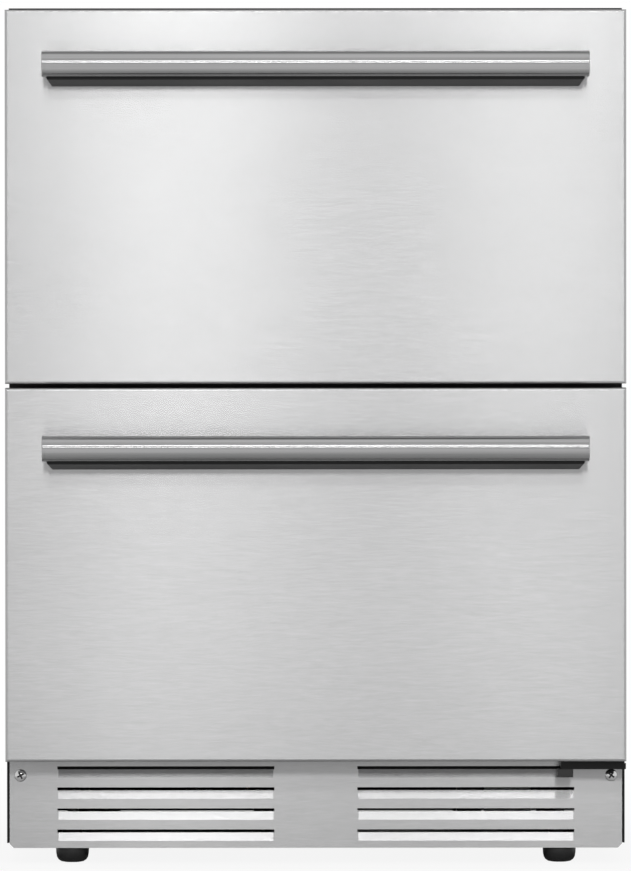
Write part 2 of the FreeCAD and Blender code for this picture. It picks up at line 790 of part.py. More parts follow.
def bracket_stop():
    """Block under the free end of the bracket's shelf."""
    body = new_body("bracket_stop")
    middle = f"({BRACKET_LEFT} + stop_width/2 - bracket_plate)"
    bottom = f"({BRACKET_TOP} - bracket_lip - stop_height)"
    pad(body, "XY", (bottom, f"{BRACKET_TOP} - bracket_lip"),
        rectangle((f"{middle} - stop_width/2", f"{middle} + stop_width/2"),
                  (BRACKET_FRONT, f"{BRACKET_FRONT} + stop_depth")))
    pad(body, "XY", (f"{BRACKET_TOP} - bracket_lip", f"{BRACKET_TOP} - bracket_plate"),
        rectangle((BRACKET_LEFT, f"{middle} + stop_width/2"),
                  (f"{BRACKET_FRONT} + bracket_plate", f"{BRACKET_FRONT} + stop_depth")))
    round_edges(body, "stop_round", lambda edge, box: runs_along(edge, Vector(0, 1, 0))
                and close_to(edge.CenterOfMass.z, box.ZMin))
    keep("bracket_stop", body)


def cabinet_screws():
    """Small screws of one kind: two hold the corner bracket, six the rear cover."""
    screws = []
    for number, level in enumerate(bracket_screw_levels(), start=1):
        screws.append(small_screw(f"bracket_screw_{number}", BRACKET_SCREW_X,
                                  f"{FLANGE} - bracket_leg_sheet", level, ALONG_Y,
                                  "bracket_leg_sheet + panel_sheet"))
    for number, (across, level) in enumerate(rear_screw_places(1) + rear_screw_places(-1), start=1):
        screws.append(small_screw(f"cover_screw_{number}", across, BACK, level, ALONG_Y_BACK,
                                  "2*panel_sheet"))
    keep("cabinet_screws", grouped("cabinet_screw_set", *screws))


# ------------------------------------------------------------------ drawers
class Drawer:
    """Levels and names of one drawer; both are built by the same functions."""
    def __init__(self, name, bottom, top, room_floor, steps):
        self.name = name
        self.bottom = bottom
        self.top = top
        self.steps = steps
        self.bar_level = f"({top} - {name}_bar_drop)"
        self.rim = f"({top} - {name}_rim_drop)"
        self.floor = f"({room_floor} + {name}_floor_gap)"
        self.frame_top = f"({self.rim} - rim_thickness)"
        self.slide_level = f"({self.frame_top} - frame_sheet - slide_height/2)"

    def node(self, piece):
        return f"{self.name}_{piece}"


DRAWERS = [Drawer("upper", UPPER_BOTTOM, UPPER_TOP, MULLION_TOP, False),
           Drawer("lower", "front_bottom", LOWER_TOP, CAVITY_FLOOR, True)]


def front_skin(drawer):
    """Folded stainless pan, open to the back."""
    node = drawer.node("front_skin")
    body = new_body(node)
    pad(body, "XZ", (FACE, FRONT_BACK),
        rectangle((f"-{FRONT_HALF}", FRONT_HALF), (drawer.bottom, drawer.top)))
    round_edges(body, "skin_fold", lambda edge, box: close_to(edge.CenterOfMass.y, box.YMin))
    inner = f"({FRONT_HALF} - skin_sheet)"
    pocket(body, "XZ", (f"{FACE} + skin_sheet", FRONT_BACK),
           rectangle((f"-{inner}", inner), (f"{drawer.bottom} + skin_sheet", f"{drawer.top} - skin_sheet")))
    for across in handle_screw_places():
        pocket(body, "XZ", (FACE, f"{FACE} + skin_sheet"),
               circle(across, handle_screw_level(drawer), "small_shank + 2*screw_clearance"))
    keep(node, body)


WEB_HALF = "(bar_length/2 - web_inset)"


def handle_screw_places():
    return [f"({share}*({WEB_HALF} - handle_screw_inset))" for share in ("-1", "-1/3", "1/3", "1")]


def handle_screw_level(drawer):
    return f"({drawer.bar_level} + web_rise - small_head)"


def front_core(drawer):
    """Foamed block that fills the pan behind the skin's rounded folds."""
    node = drawer.node("front_core")
    inner = f"({FRONT_HALF} - skin_sheet)"
    body = new_body(node)
    pad(body, "XZ", (f"{FACE} + skin_sheet", f"{FRONT_BACK} - inner_panel"),
        rectangle((f"-{inner}", inner), (f"{drawer.bottom} + skin_sheet", f"{drawer.top} - skin_sheet")))
    round_edges(body, "skin_fold", lambda edge, box: close_to(edge.CenterOfMass.y, box.YMin))
    keep(node, body)


def gasket_rings(drawer, grow):
    """Outer and inner outline of the seal, as a pair of rectangles; grow widens the ring."""
    rings = []
    for inset in (f"(0 - {grow})", f"(gasket_width + {grow})"):
        reach = f"({GASKET_HALF} - {inset})"
        rings.append(rectangle((f"-{reach}", reach),
                               (f"{drawer.bottom} + gasket_level_margin + {inset}",
                                f"{drawer.top} - gasket_level_margin - {inset}")))
    return rings


def rib_rings(drawer, clearance):
    """Both outlines of the anchor rib in the middle of the seal's width."""
    rings = []
    for sign in ("-1", "1"):
        inset = f"(gasket_width/2 + {sign}*(gasket_rib/2 + {clearance}))"
        reach = f"({GASKET_HALF} - {inset})"
        rings.append(rectangle((f"-{reach}", reach),
                               (f"{drawer.bottom} + gasket_level_margin + {inset}",
                                f"{drawer.top} - gasket_level_margin - {inset}")))
    return rings


def front_inner_panel(drawer):
    """Moulded lining of the front: a plate with a raised plug that enters the cold space."""
    node = drawer.node("front_inner_panel")
    inner = f"({FRONT_HALF} - skin_sheet)"
    body = new_body(node)
    pad(body, "XZ", (f"{FRONT_BACK} - inner_panel", FRONT_BACK),
        rectangle((f"-{inner}", inner), (f"{drawer.bottom} + skin_sheet", f"{drawer.top} - skin_sheet")))
    plug_side = f"({CAVITY} - plug_side_gap)"
    plug_low = f"({CAVITY_FLOOR} + plug_level_gap)" if drawer.steps else f"({MULLION_TOP} + plug_level_gap)"
    plug_high = f"({MULLION_BOTTOM} - plug_level_gap)" if drawer.steps else f"({CAVITY_TOP} - plug_level_gap)"
    pad(body, "XZ", (FRONT_BACK, PLUG_BACK), rectangle((f"-{plug_side}", plug_side), (plug_low, plug_high)))
    round_edges(body, "plug_draft", lambda edge, box: close_to(edge.CenterOfMass.y, box.YMax),
                "Chamfer", "Size")
    pocket(body, "XZ", (f"{FRONT_BACK} - gasket_rib_depth - screw_clearance", FRONT_BACK),
           *rib_rings(drawer, "screw_clearance/2"))
    keep(node, body)


def gasket(drawer):
    """Magnetic seal: a soft ring with an anchor rib in the lining's groove."""
    node = drawer.node("gasket")
    body = new_body(node)
    pad(body, "XZ", (FRONT_BACK, f"{FLANGE} - gasket_clearance"), *gasket_rings(drawer, "0"))
    pad(body, "XZ", (f"{FRONT_BACK} - gasket_rib_depth", FRONT_BACK), *rib_rings(drawer, "0"))
    keep(node, body)


def handle_bar(drawer):
    """Round tube across the front, closed by flat discs; a fine groove marks each disc's joint."""
    node = drawer.node("handle_bar")
    body = new_body(node)
    centre = (f"{FACE} - bar_standoff", drawer.bar_level)
    pad(body, "YZ", ("-bar_length/2", "bar_length/2"), circle(*centre, "bar_diameter"))
    round_edges(body, "bar_edge", lambda edge, box: close_to(edge.CenterOfMass.x, box.XMin, box.XMax))
    pocket(body, "YZ", ("-bar_length/2 + bar_cap", "bar_length/2 - bar_cap"),
           circle(*centre, "bar_diameter - 2*bar_wall"))
    for joint in ("bar_length/2 - bar_cap", "-bar_length/2 + bar_cap"):
        pocket(body, "YZ", (f"{joint} - bar_seam/2", f"{joint} + bar_seam/2"),
               circle(*centre, "bar_diameter + bar_seam"), circle(*centre, "bar_diameter - 2*bar_seam"))
    keep(node, body)


def handle_web(drawer):
    """Full-length bracket: a flange on the front and a sloping shelf that cradles the bar."""
    node = drawer.node("handle_web")
    level = drawer.bar_level
    body = new_body(node)
    bar = f"({FACE} - bar_standoff)"
    flange = f"({FACE} - web_sheet)"
    radius = "bar_diameter/2"
    pad(body, "YZ", (f"-{WEB_HALF}", WEB_HALF),
        [(FACE, f"{level} - web_drop"), (bar, f"{level} - {radius} - web_sheet"),
         (bar, f"{level} - {radius}/2"), (f"{bar} + {radius}*2/3", f"{level} - {radius}*3/4"),
         (flange, f"{level} - web_drop + web_sheet*3/2"), (flange, f"{level} + web_rise"),
         (FACE, f"{level} + web_rise")])
    pocket(body, "YZ", (f"-{WEB_HALF}", WEB_HALF),
           circle(bar, level, "bar_diameter + 2*thread_clearance"))
    for side in (1, -1):
        end = f"{side}*{WEB_HALF}"
        pocket(body, "XZ", (f"{FACE} - bar_standoff", FACE),
               [(end, f"{level} - {radius}"), (f"{side}*({WEB_HALF} - web_taper)", f"{level} - web_drop"),
                (end, f"{level} - web_drop")])
    for across in handle_screw_places():
        pocket(body, "XZ", (flange, FACE),
               circle(across, handle_screw_level(drawer), "small_shank + 2*screw_clearance"))
    keep(node, body)


def handle_screws(drawer):
    screws = []
    for number, across in enumerate(handle_screw_places(), start=1):
        screws.append(small_screw(f"{drawer.name}_handle_screw_{number}", across, f"{FACE} - web_sheet",
                                  handle_screw_level(drawer), ALONG_Y, "web_sheet + skin_sheet"))
    keep(drawer.node("handle_screws"), grouped(drawer.name + "_handle_screw_set", *screws))


FRAME_FRONT = f"({PLUG_BACK} + bin_fit)"
FRAME_REAR = f"({COVER_FRONT} - slide_rear_room)"
FRAME_HALF = f"({SLIDE_INNER} - bin_fit)"
BIN_FRONT = f"({FRAME_FRONT} + frame_sheet + bin_fit)"
BIN_HALF = f"({FRAME_HALF} - rim_overlap - bin_fit)"
BIN_REAR = f"({FRAME_REAR} - rim_overlap - bin_fit)"
BIN_STEP = f"({STEP_FRONT} - step_clearance)"


def bin_frame(drawer):
    """Ring round the bin: a shelf under its rim, webs at the sides for the slides."""
    node = drawer.node("bin_frame")
    body = new_body(node)
    top = drawer.frame_top
    under = f"({top} - frame_sheet)"
    bottom = f"({top} - frame_web)"
    web = f"({FRAME_HALF} - frame_sheet)"
    hole = f"({FRAME_HALF} - rim_overlap)"
    pad(body, "XY", (under, top),
        rectangle((f"-{FRAME_HALF}", FRAME_HALF), (FRAME_FRONT, FRAME_REAR)),
        rectangle((f"-{hole}", hole), (f"{FRAME_FRONT} + frame_sheet", f"{FRAME_REAR} - rim_overlap")))
    for side in (1, -1):
        pad(body, "XY", (bottom, under),
            rectangle((f"{side}*{web}", f"{side}*{FRAME_HALF}"), (FRAME_FRONT, FRAME_REAR)))
    pad(body, "XY", (bottom, under),
        rectangle((f"-{web}", web), (FRAME_FRONT, f"{FRAME_FRONT} + frame_sheet")))
    keep(node, body)


def bin_side_outline(drawer, wall):
    """Side view of the bin, one wall further in; the lower bin steps up over the machine space."""
    front, rear = f"({BIN_FRONT} + {wall})", f"({BIN_REAR} - {wall})"
    floor = f"({drawer.floor} + {wall})"
    if not drawer.steps:
        return rectangle((front, rear), (floor, drawer.rim))
    step = f"({BIN_STEP} - {wall})"
    step_up = f"({STEP_TOP} + step_clearance + {wall})"
    return [(front, floor), (step, floor), (step, step_up), (rear, step_up), (rear, drawer.rim),
            (front, drawer.rim)]


def tub_block(name, drawer, wall):
    """Solid tub with drawn-in sides and rounded edges, one wall further in than the bin."""
    body = new_body(name)
    half = f"({BIN_HALF} - {wall})"
    floor = f"({drawer.floor} + {wall})"
    pad(body, "YZ", (f"-{half}", half), bin_side_outline(drawer, wall))
    for side in (1, -1):
        pocket(body, "XZ", (f"{BIN_FRONT} + {wall}", f"{BIN_REAR} - {wall}"),
               [(f"{side}*{half}", floor), (f"{side}*({half} - bin_draft)", floor),
                (f"{side}*{half}", drawer.rim)])
    round_edges(body, f"bin_round - {wall}", is_bin_edge)
    return body


def bin_tub(drawer):
    """Moulded tub with an even wall; it hangs by its rim in the frame."""
    node = drawer.node("bin")
    rim = new_body(node + "_rim")
    rim_half = f"({FRAME_HALF} - bin_fit)"
    pad(rim, "XY", (drawer.frame_top, drawer.rim),
        rectangle((f"-{rim_half}", rim_half), (BIN_FRONT, f"{FRAME_REAR} - bin_fit")))
    block = joined(node + "_block", tub_block(node + "_outside", drawer, "0"), rim)
    keep(node, cut_from(node, block, tub_block(node + "_inside", drawer, "bin_wall")))


def is_bin_edge(edge, box):
    """The tub's upright corners and the long edges of its floor."""
    middle = edge.CenterOfMass
    upright = close_to(middle.y, box.YMin, box.YMax) and abs(edge.tangentAt(edge.FirstParameter).z) > 0.9
    along_floor = runs_along(edge, Vector(0, 1, 0)) and close_to(middle.z, box.ZMin)
    across_floor = runs_along(edge, Vector(1, 0, 0)) and close_to(middle.z, box.ZMin)
    return upright or along_floor or across_floor


def channel(name, drawer, web_inner, web_outer, half_height, lip_end):
    """Rolled channel of a slide: an upright web and two lips that turn towards the drawer."""
    body = new_body(name)
    level = drawer.slide_level
    high = f"({level} + {half_height})"
    low = f"({level} - {half_height})"
    pad(body, "XZ", (FRAME_FRONT, FRAME_REAR),
        [(web_outer, low), (web_outer, high), (lip_end, high), (lip_end, f"{high} - slide_sheet"),
         (web_inner, f"{high} - slide_sheet"), (web_inner, f"{low} + slide_sheet"),
         (lip_end, f"{low} + slide_sheet"), (lip_end, low)])
    return body


def slides(drawer):
    """Telescopic slides, one each side: cabinet, middle and drawer members."""
    outer_web = f"({CAVITY} - slide_sheet)"
    step = "(slide_sheet + slide_clearance)"
    middle_outer = f"({outer_web} - slide_clearance)"
    middle_inner = f"({middle_outer} - slide_sheet)"
    members = {
        "cabinet_slides": (outer_web, CAVITY, "slide_height/2", f"({SLIDE_INNER} + slide_lip_gap)"),
        "middle_slides": (middle_inner, middle_outer, f"(slide_height/2 - {step})",
                          f"({SLIDE_INNER} + slide_lip_gap + slide_lip_step)"),
        "drawer_slides": (SLIDE_INNER, f"({SLIDE_INNER} + slide_sheet)",
                          f"(slide_height/2 - 2*{step})", f"({middle_inner} - slide_clearance)"),
    }
    for piece, (web_inner, web_outer, half_height, lip_end) in members.items():
        if piece == "drawer_slides":
            web_inner, web_outer = web_outer, web_inner
        right = channel(drawer.node(piece) + "_right", drawer, web_inner, web_outer, half_height,
                        lip_end)
        keep(drawer.node(piece), grouped(drawer.node(piece) + "_pair", right, mirrored(right)))


# ------------------------------------------------------------------ machine space
COMPRESSOR_X = f"(stem_diameter/2 + compressor_foot_gap + compressor_plate/2 - {FOOT_X})"
MACHINE_MIDDLE = f"({BACK} - {MACHINE_DEPTH}/2)"
GROMMET_TOP = f"({BASE_TOP} + grommet_height)"
SHELL_BOTTOM = f"({GROMMET_TOP} + compressor_plate_sheet)"
PLATE_DEPTH = "(compressor_diameter/2 - plate_setback)"


def compressor():
    """Welded steel shell with a seam ring and a domed top, on a foot plate."""
    body = new_body("compressor")
    radius = "compressor_diameter/2"
    shell = f"({radius} - seam_lip)"
    base = f"({radius} - shell_base_inset)"
    top = f"({SHELL_BOTTOM} + compressor_height)"
    seam = f"({SHELL_BOTTOM} + seam_level)"
    revolve(body, ("0", GROMMET_TOP), (base, GROMMET_TOP), (base, SHELL_BOTTOM),
            (shell, f"{SHELL_BOTTOM} + shell_base_rise"), (shell, seam), (radius, seam),
            (radius, f"{seam} + seam_width"), (shell, f"{seam} + seam_width"), (shell, top), ("0", top))
    round_edges(body, "shell_round", lambda edge, box: close_to(edge.CenterOfMass.z, box.ZMax))
    half = "compressor_plate/2"
    pad(body, "XY", (GROMMET_TOP, SHELL_BOTTOM),
        rectangle((f"-{half}", half), (f"-{PLATE_DEPTH}", PLATE_DEPTH)))
    place(body, COMPRESSOR_X, MACHINE_MIDDLE, "0")
    keep("compressor", body)


def compressor_grommets():
    """Rubber mounts between the compressor's foot plate and the base."""
    rings = []
    for number, (side, end) in enumerate(((1, 1), (1, -1), (-1, 1), (-1, -1)), start=1):
        rings.append(rod(f"grommet_{number}", "grommet_diameter", "grommet_height",
                         f"{COMPRESSOR_X} + {side}*(compressor_plate/2 - grommet_inset)",
                         f"{MACHINE_MIDDLE} + {end}*({PLATE_DEPTH} - grommet_diameter/2)",
                         BASE_TOP))
    keep("compressor_grommets", grouped("grommet_set", *rings))


def terminal_box():
    """Plastic box for the compressor's terminals, its back hollowed to fit the shell."""
    start = f"({COMPRESSOR_X} + compressor_diameter/2 - terminal_overlap)"
    bottom = f"({SHELL_BOTTOM} + terminal_level)"
    box = block("terminal_box_blank", (start, f"{start} + terminal_width"),
                (f"{MACHINE_MIDDLE} - terminal_depth/2", f"{MACHINE_MIDDLE} + terminal_depth/2"),
                (bottom, f"{bottom} + terminal_height"))
    room = rod("terminal_box_room", "compressor_diameter + 2*tray_clearance", "compressor_height",
               COMPRESSOR_X, MACHINE_MIDDLE, SHELL_BOTTOM)
    keep("terminal_box", cut_from("terminal_box_cut", box, room))


def tray_block(name, wall):
    """Rounded block, one wall further in and up than the tray."""
    body = new_body(name)
    half = f"(tray_width/2 - {wall})"
    depth = f"(tray_depth/2 - {wall})"
    bottom = f"({SHELL_BOTTOM} + compressor_height + tray_clearance)"
    pad(body, "XY", (f"({bottom} + {wall})", f"({bottom} + tray_height)"),
        rectangle((f"{COMPRESSOR_X} - {half}", f"{COMPRESSOR_X} + {half}"),
                  (f"{MACHINE_MIDDLE} - {depth}", f"{MACHINE_MIDDLE} + {depth}")))
    round_edges(body, f"tray_round - {wall}", lambda edge, box: runs_along(edge, Vector(0, 0, 1)))
    return body


def drip_tray():
    """Shallow tray on the warm compressor; defrost water dries off in it."""
    keep("drip_tray", cut_from("drip_tray_cut", tray_block("tray_outside", "0"),
                               tray_block("tray_inside", "tray_wall")))


CONDENSER_X = f"({FOOT_X} - nut_diameter/2 - condenser_foot_gap - condenser_thickness/2)"
CONDENSER_LENGTH = (f"({MACHINE_DEPTH} - condenser_height/condenser_tubes - condenser_tube"
                    " - 2*condenser_end_gap)")
SHROUD_HALF = "(fan_diameter/2 + fan_clearance + shroud_rim)"
SHROUD_RIGHT = f"({CONDENSER_X} - condenser_thickness/2 - shroud_gap)"
SHROUD_LEFT = f"({SHROUD_RIGHT} - fan_depth - 2*fan_gap)"
FAN_LEVEL = f"({BASE_TOP} + {SHROUD_HALF})"
STRUT_LEFT = f"({SHROUD_LEFT} - strut_thickness)"


def coil(node, kind, run, length, across, along, bottom):
    """Serpentine tube through a row of fins; run is the axis that the straight tubes follow."""
    height, thick = f"{kind}_height", f"{kind}_thickness"
    fin, tube, rows = f"{kind}_fin", f"{kind}_tube", int(size(f"{kind}_tubes"))
    count = int(size(f"{kind}_fins"))
    middle = across if run == "X" else along
    pieces = []
    for number in range(count):
        start = f"({middle} - {length}/2 + {number}*({length} - {fin})/({kind}_fins - 1))"
        lengthwise = (start, f"{start} + {fin}")
        crosswise_middle = along if run == "X" else across
        crosswise = (f"{crosswise_middle} - {thick}/2", f"{crosswise_middle} + {thick}/2")
        x_range, y_range = (lengthwise, crosswise) if run == "X" else (crosswise, lengthwise)
        pieces.append(block(f"{node}_fin_{number + 1}", x_range, y_range, (bottom, f"{bottom} + {height}")))
    turn = ALONG_X if run == "X" else ALONG_Y
    level_pitch = f"({height}/{kind}_tubes)"
    start = f"({middle} - {length}/2)"
    for row in range(rows):
        level = f"({bottom} + {level_pitch}*({row} + 1/2))"
        begin = (start, along, level) if run == "X" else (across, start, level)
        pieces.append(rod(f"{node}_tube_{row + 1}", tube, length, *begin, turn))
    for row in range(rows - 1):
        side = 1 if row % 2 == 0 else -1
        level = f"({bottom} + {level_pitch}*({row} + 1))"
        end = f"({middle} + {side}*{length}/2)"
        bend = doc.addObject("Part::Torus", f"{node}_bend_{row + 1}")
        bind(bend, "Radius1", f"{level_pitch}/2")
        bind(bend, "Radius2", f"{tube}/2")
        bend.Angle3 = 180
        upright = Rotation(Vector(1, 0, 0), 90).multiply(Rotation(Vector(0, 0, 1), -90*side))
        if run == "Y":
            upright = Rotation(Vector(0, 0, 1), 90).multiply(upright)
        centre = (end, along, level) if run == "X" else (across, end, level)
        place(bend, *centre, upright)
        pieces.append(bend)
    keep(node, joined(node + "_joined", *pieces))


def fan_shroud():
    """Square frame with a round duct, and a cross that carries the motor."""
    body = new_body("condenser_fan_shroud")
    box = ((f"{MACHINE_MIDDLE} - {SHROUD_HALF}", f"{MACHINE_MIDDLE} + {SHROUD_HALF}"),
           (BASE_TOP, f"{FAN_LEVEL} + {SHROUD_HALF}"))
    centre = (MACHINE_MIDDLE, FAN_LEVEL)
    pad(body, "YZ", (SHROUD_LEFT, SHROUD_RIGHT), rectangle(*box),
        circle(*centre, "fan_diameter + 2*fan_clearance"))
    bar = "strut_width/2"
    struts = (STRUT_LEFT, SHROUD_LEFT)
    pad(body, "YZ", struts, rectangle(box[0], (f"{FAN_LEVEL} - {bar}", f"{FAN_LEVEL} + {bar}")))
    pad(body, "YZ", struts, rectangle((f"{MACHINE_MIDDLE} - {bar}", f"{MACHINE_MIDDLE} + {bar}"), box[1]))
    pad(body, "YZ", struts, circle(*centre, "motor_diameter"))
    pocket(body, "YZ", struts, circle(*centre, "shaft_diameter + 2*fan_gap"))
    keep("condenser_fan_shroud", body)


def fan_motor(node, diameter, length, shaft_reach, across, along, up, turn):
    """Can with its shaft; the shaft carries the fan."""
    body = new_body(node)
    revolve(body, ("0", f"-({length})"), (f"({diameter})/2 - motor_edge", f"-({length})"),
            (f"({diameter})/2", f"-({length}) + motor_edge"), (f"({diameter})/2", "0"),
            ("shaft_diameter/2", "0"),
            ("shaft_diameter/2", shaft_reach), ("0", shaft_reach))
    place(body, across, along, up, turn)
    keep(node, body)


def blade_section(chord, pitch, depth):
    """A thin rectangle turned by its pitch about the middle of the hub's depth."""
    corners = []
    for u, v in (("-1", "-1"), ("1", "-1"), ("1", "1"), ("-1", "1")):
        along = f"({u}*{chord}/2)"
        off = f"({v}*fan_blade/2)"
        corners.append((f"{along}*cos({pitch}*1 deg) - {off}*sin({pitch}*1 deg)",
                        f"{depth}/2 + {along}*sin({pitch}*1 deg) + {off}*cos({pitch}*1 deg)"))
    return corners


def fan(node, diameter, hub, depth, root_chord, tip_chord, across, along, up, turn):
    """Hub with twisted blades, bored for the motor's shaft."""
    body = new_body(node)
    pad(body, "XY", ("0", depth), circle("0", "0", hub))
    root = new_sketch(body, "YZ", f"{hub}/2 - blade_root", [blade_section(root_chord, "fan_pitch", depth)])
    tip = new_sketch(body, "YZ", f"sqrt({diameter}*{diameter} - {tip_chord}*{tip_chord})/2",
                     [blade_section(tip_chord, "tip_pitch", depth)])
    blade = body.newObject("PartDesign::AdditiveLoft", node + "_blade")
    blade.Profile = root
    blade.Sections = [tip]
    blade.Ruled = True
    body.Tip = blade
    repeat_round(body, [blade], "fan_blades")
    pocket(body, "XY", ("0", f"{depth} - fan_gap"), circle("0", "0", "shaft_diameter + 2*shaft_clearance"))
    place(body, across, along, up, turn)
    keep(node, body)


def bent_pipe(name, start, moves):
    """Pipe of straight runs along the axes, joined by quarter bends.

    Each move is a unit direction and the length to the next corner.
    """
    spot = list(start)
    pieces = []
    for number, (direction, length) in enumerate(moves):
        last = number == len(moves) - 1
        lead = "0" if number == 0 else "pipe_bend"
        trail = "0" if last else "pipe_bend"
        begin = [f"({value} + {part}*({lead}))" for value, part in zip(spot, direction)]
        run = rod(f"{name}_run_{number + 1}", "pipe_diameter", f"({length}) - ({lead}) - ({trail})", *begin,
                  Rotation(Vector(0, 0, 1), Vector(*direction)))
        pieces.append(run)
        corner = [f"({value} + {part}*({length}))" for value, part in zip(spot, direction)]
        if not last:
            following = moves[number + 1][0]
            centre = [f"({value} + ({after} - {before})*pipe_bend)"
                      for value, before, after in zip(corner, direction, following)]
            first = Vector(*following)*-1
            second = Vector(*direction)
            bend = doc.addObject("Part::Torus", f"{name}_bend_{number + 1}")
            bind(bend, "Radius1", "pipe_bend")
            bind(bend, "Radius2", "pipe_diameter/2")
            bend.Angle3 = 90
            place(bend, *centre, Rotation(first, second, first.cross(second), "XYZ"))
            pieces.append(bend)
        spot = corner
    return joined(name, *pieces)


RIGHT, LEFT, BACKWARD, FORWARD, UP, DOWN = (1, 0, 0), (-1, 0, 0), (0, 1, 0), (0, -1, 0), (0, 0, 1), (0, 0, -1)
PIPE_Y = f"({MACHINE_FRONT} + pipe_wall_gap)"
COIL_FRONT = f"({MACHINE_MIDDLE} - {CONDENSER_LENGTH}/2)"
COIL_LOW = f"({BASE_TOP} + condenser_height/condenser_tubes/2)"
COIL_HIGH = f"({BASE_TOP} + condenser_height - condenser_height/condenser_tubes/2)"
PIPE_ROOF = f"({MACHINE_TOP} - bin_fit)"
SUCTION_X = f"({COMPRESSOR_X} + compressor_plate/2 + 2*pipe_bend)"
DRIER_X = f"({SUCTION_X} + 5*pipe_bend)"
DRIER_BOTTOM = f"({COIL_LOW} + 3*pipe_bend)"
DRIER_TOP = f"({DRIER_BOTTOM} + drier_length)"


def refrigerant_tubes():
    """Hot line to the condenser, liquid line to the drier, capillary and suction line."""
    shell_radius = "(compressor_diameter/2 - seam_lip)"
    shell_front = f"({MACHINE_MIDDLE} - {shell_radius} - screw_clearance)"
    hot_level = f"({SHELL_BOTTOM} + compressor_height/3)"
    high_run = f"({SHELL_BOTTOM} + compressor_height + tray_height)"
    hot = bent_pipe("hot_line", (COMPRESSOR_X, shell_front, hot_level),
                    [(FORWARD, f"{shell_front} - {PIPE_Y}"), (UP, f"{high_run} - {hot_level}"),
                     (RIGHT, f"{CONDENSER_X} - {COMPRESSOR_X}"), (DOWN, f"{high_run} - {COIL_HIGH}"),
                     (BACKWARD, f"{COIL_FRONT} - {PIPE_Y} - screw_clearance")])
    liquid = bent_pipe("liquid_line", (CONDENSER_X, f"{COIL_FRONT} - screw_clearance", COIL_LOW),
                       [(FORWARD, f"{COIL_FRONT} - {PIPE_Y} - screw_clearance"),
                        (LEFT, f"{CONDENSER_X} - {DRIER_X}"), (UP, f"{DRIER_BOTTOM} - {COIL_LOW}")])
    capillary = bent_pipe("capillary_line", (DRIER_X, PIPE_Y, DRIER_TOP),
                          [(UP, "2*pipe_bend"), (LEFT, "3*pipe_bend"),
                           (UP, f"{PIPE_ROOF} - {DRIER_TOP} - 2*pipe_bend")])
    entry = f"({COMPRESSOR_X} - compressor_diameter/5)"
    nearest = "(compressor_diameter/5 - pipe_diameter/2)"
    entry_depth = f"sqrt({shell_radius}*{shell_radius} - {nearest}*{nearest})"
    suction_level = f"({SHELL_BOTTOM} + shell_base_rise)"
    suction = bent_pipe("suction_line", (SUCTION_X, PIPE_Y, PIPE_ROOF),
                        [(DOWN, f"{PIPE_ROOF} - {suction_level}"), (LEFT, f"{SUCTION_X} - {entry}"),
                         (BACKWARD, f"{MACHINE_MIDDLE} - {entry_depth} - screw_clearance - {PIPE_Y}")])
    keep("refrigerant_tubes", grouped("refrigerant_lines", hot, liquid, capillary, suction))


def filter_drier():
    """Upright copper cartridge between the liquid line and the capillary."""
    body = new_body("filter_drier")
    radius = "drier_diameter/2"
    neck = "pipe_diameter/2 + drier_neck"
    revolve(body, ("0", "screw_clearance"), (neck, "screw_clearance"), (radius, "pipe_bend"),
            (radius, "drier_length - pipe_bend"), (neck, "drier_length - screw_clearance"),
            ("0", "drier_length - screw_clearance"))
    place(body, DRIER_X, PIPE_Y, DRIER_BOTTOM)
    keep("filter_drier", body)


INLET_X = f"({COMPRESSOR_X} - inlet_width)"
INLET_LEVEL = f"({MACHINE_TOP} - side_return)"


def machine_rear_cover():
    """Sheet over the machine space with a row of upright vents and a window for the cord inlet."""
    body = new_body("machine_rear_cover")
    reach = f"({SHELL} - panel_sheet)"
    levels = (f"{BACK} - panel_sheet", BACK)
    pad(body, "XZ", levels,
        rectangle((f"-{reach}", reach), (f"{BASE_TOP} + bin_fit", f"{MACHINE_TOP} - bin_fit")))
    for across, level in rear_screw_places(1) + rear_screw_places(-1):
        pocket(body, "XZ", levels, circle(across, level, "small_shank + 2*screw_clearance"))
    pocket(body, "XZ", levels, inlet_outline("bin_fit"))
    left = f"({CONDENSER_X} - vent_pitch*(vent_count - 1))"
    low = f"({FAN_LEVEL} - vent_height/2)"
    vent = pocket(body, "XZ", levels,
                  rectangle((left, f"{left} + vent_width"), (low, f"{low} + vent_height")))
    repeat(body, vent, "X_Axis", "vent_pitch", "vent_count")
    keep("machine_rear_cover", body)


def inlet_outline(grow):
    half = f"(inlet_width/2 + {grow})"
    rise = f"(inlet_height/2 + {grow})"
    middle = f"({INLET_LEVEL} - inlet_height)"
    return rectangle((f"{INLET_X} - {half}", f"{INLET_X} + {half}"),
                     (f"{middle} - {rise}", f"{middle} + {rise}"))


def cord_inlet():
    """Socket for the supply cord in the rear cover, with a deep recess."""
    body = new_body("cord_inlet")
    pad(body, "XZ", (f"{BACK} - inlet_depth", BACK), inlet_outline("0"))
    pocket(body, "XZ", (f"{BACK} - inlet_depth + frame_sheet", BACK), inlet_outline("0 - bin_wall"))
    keep("cord_inlet", body)


# ------------------------------------------------------------------ cold side
COVER_BOTTOM = f"({STEP_TOP} + cover_bottom_gap)"
COVER_TOP = f"({CAVITY_TOP} - cover_top_gap)"
COLD_FAN_LEVEL = f"({COVER_TOP} - grille_drop)"
COLD_MOTOR_FRONT = f"({CAVITY_BACK} - cold_motor_length)"


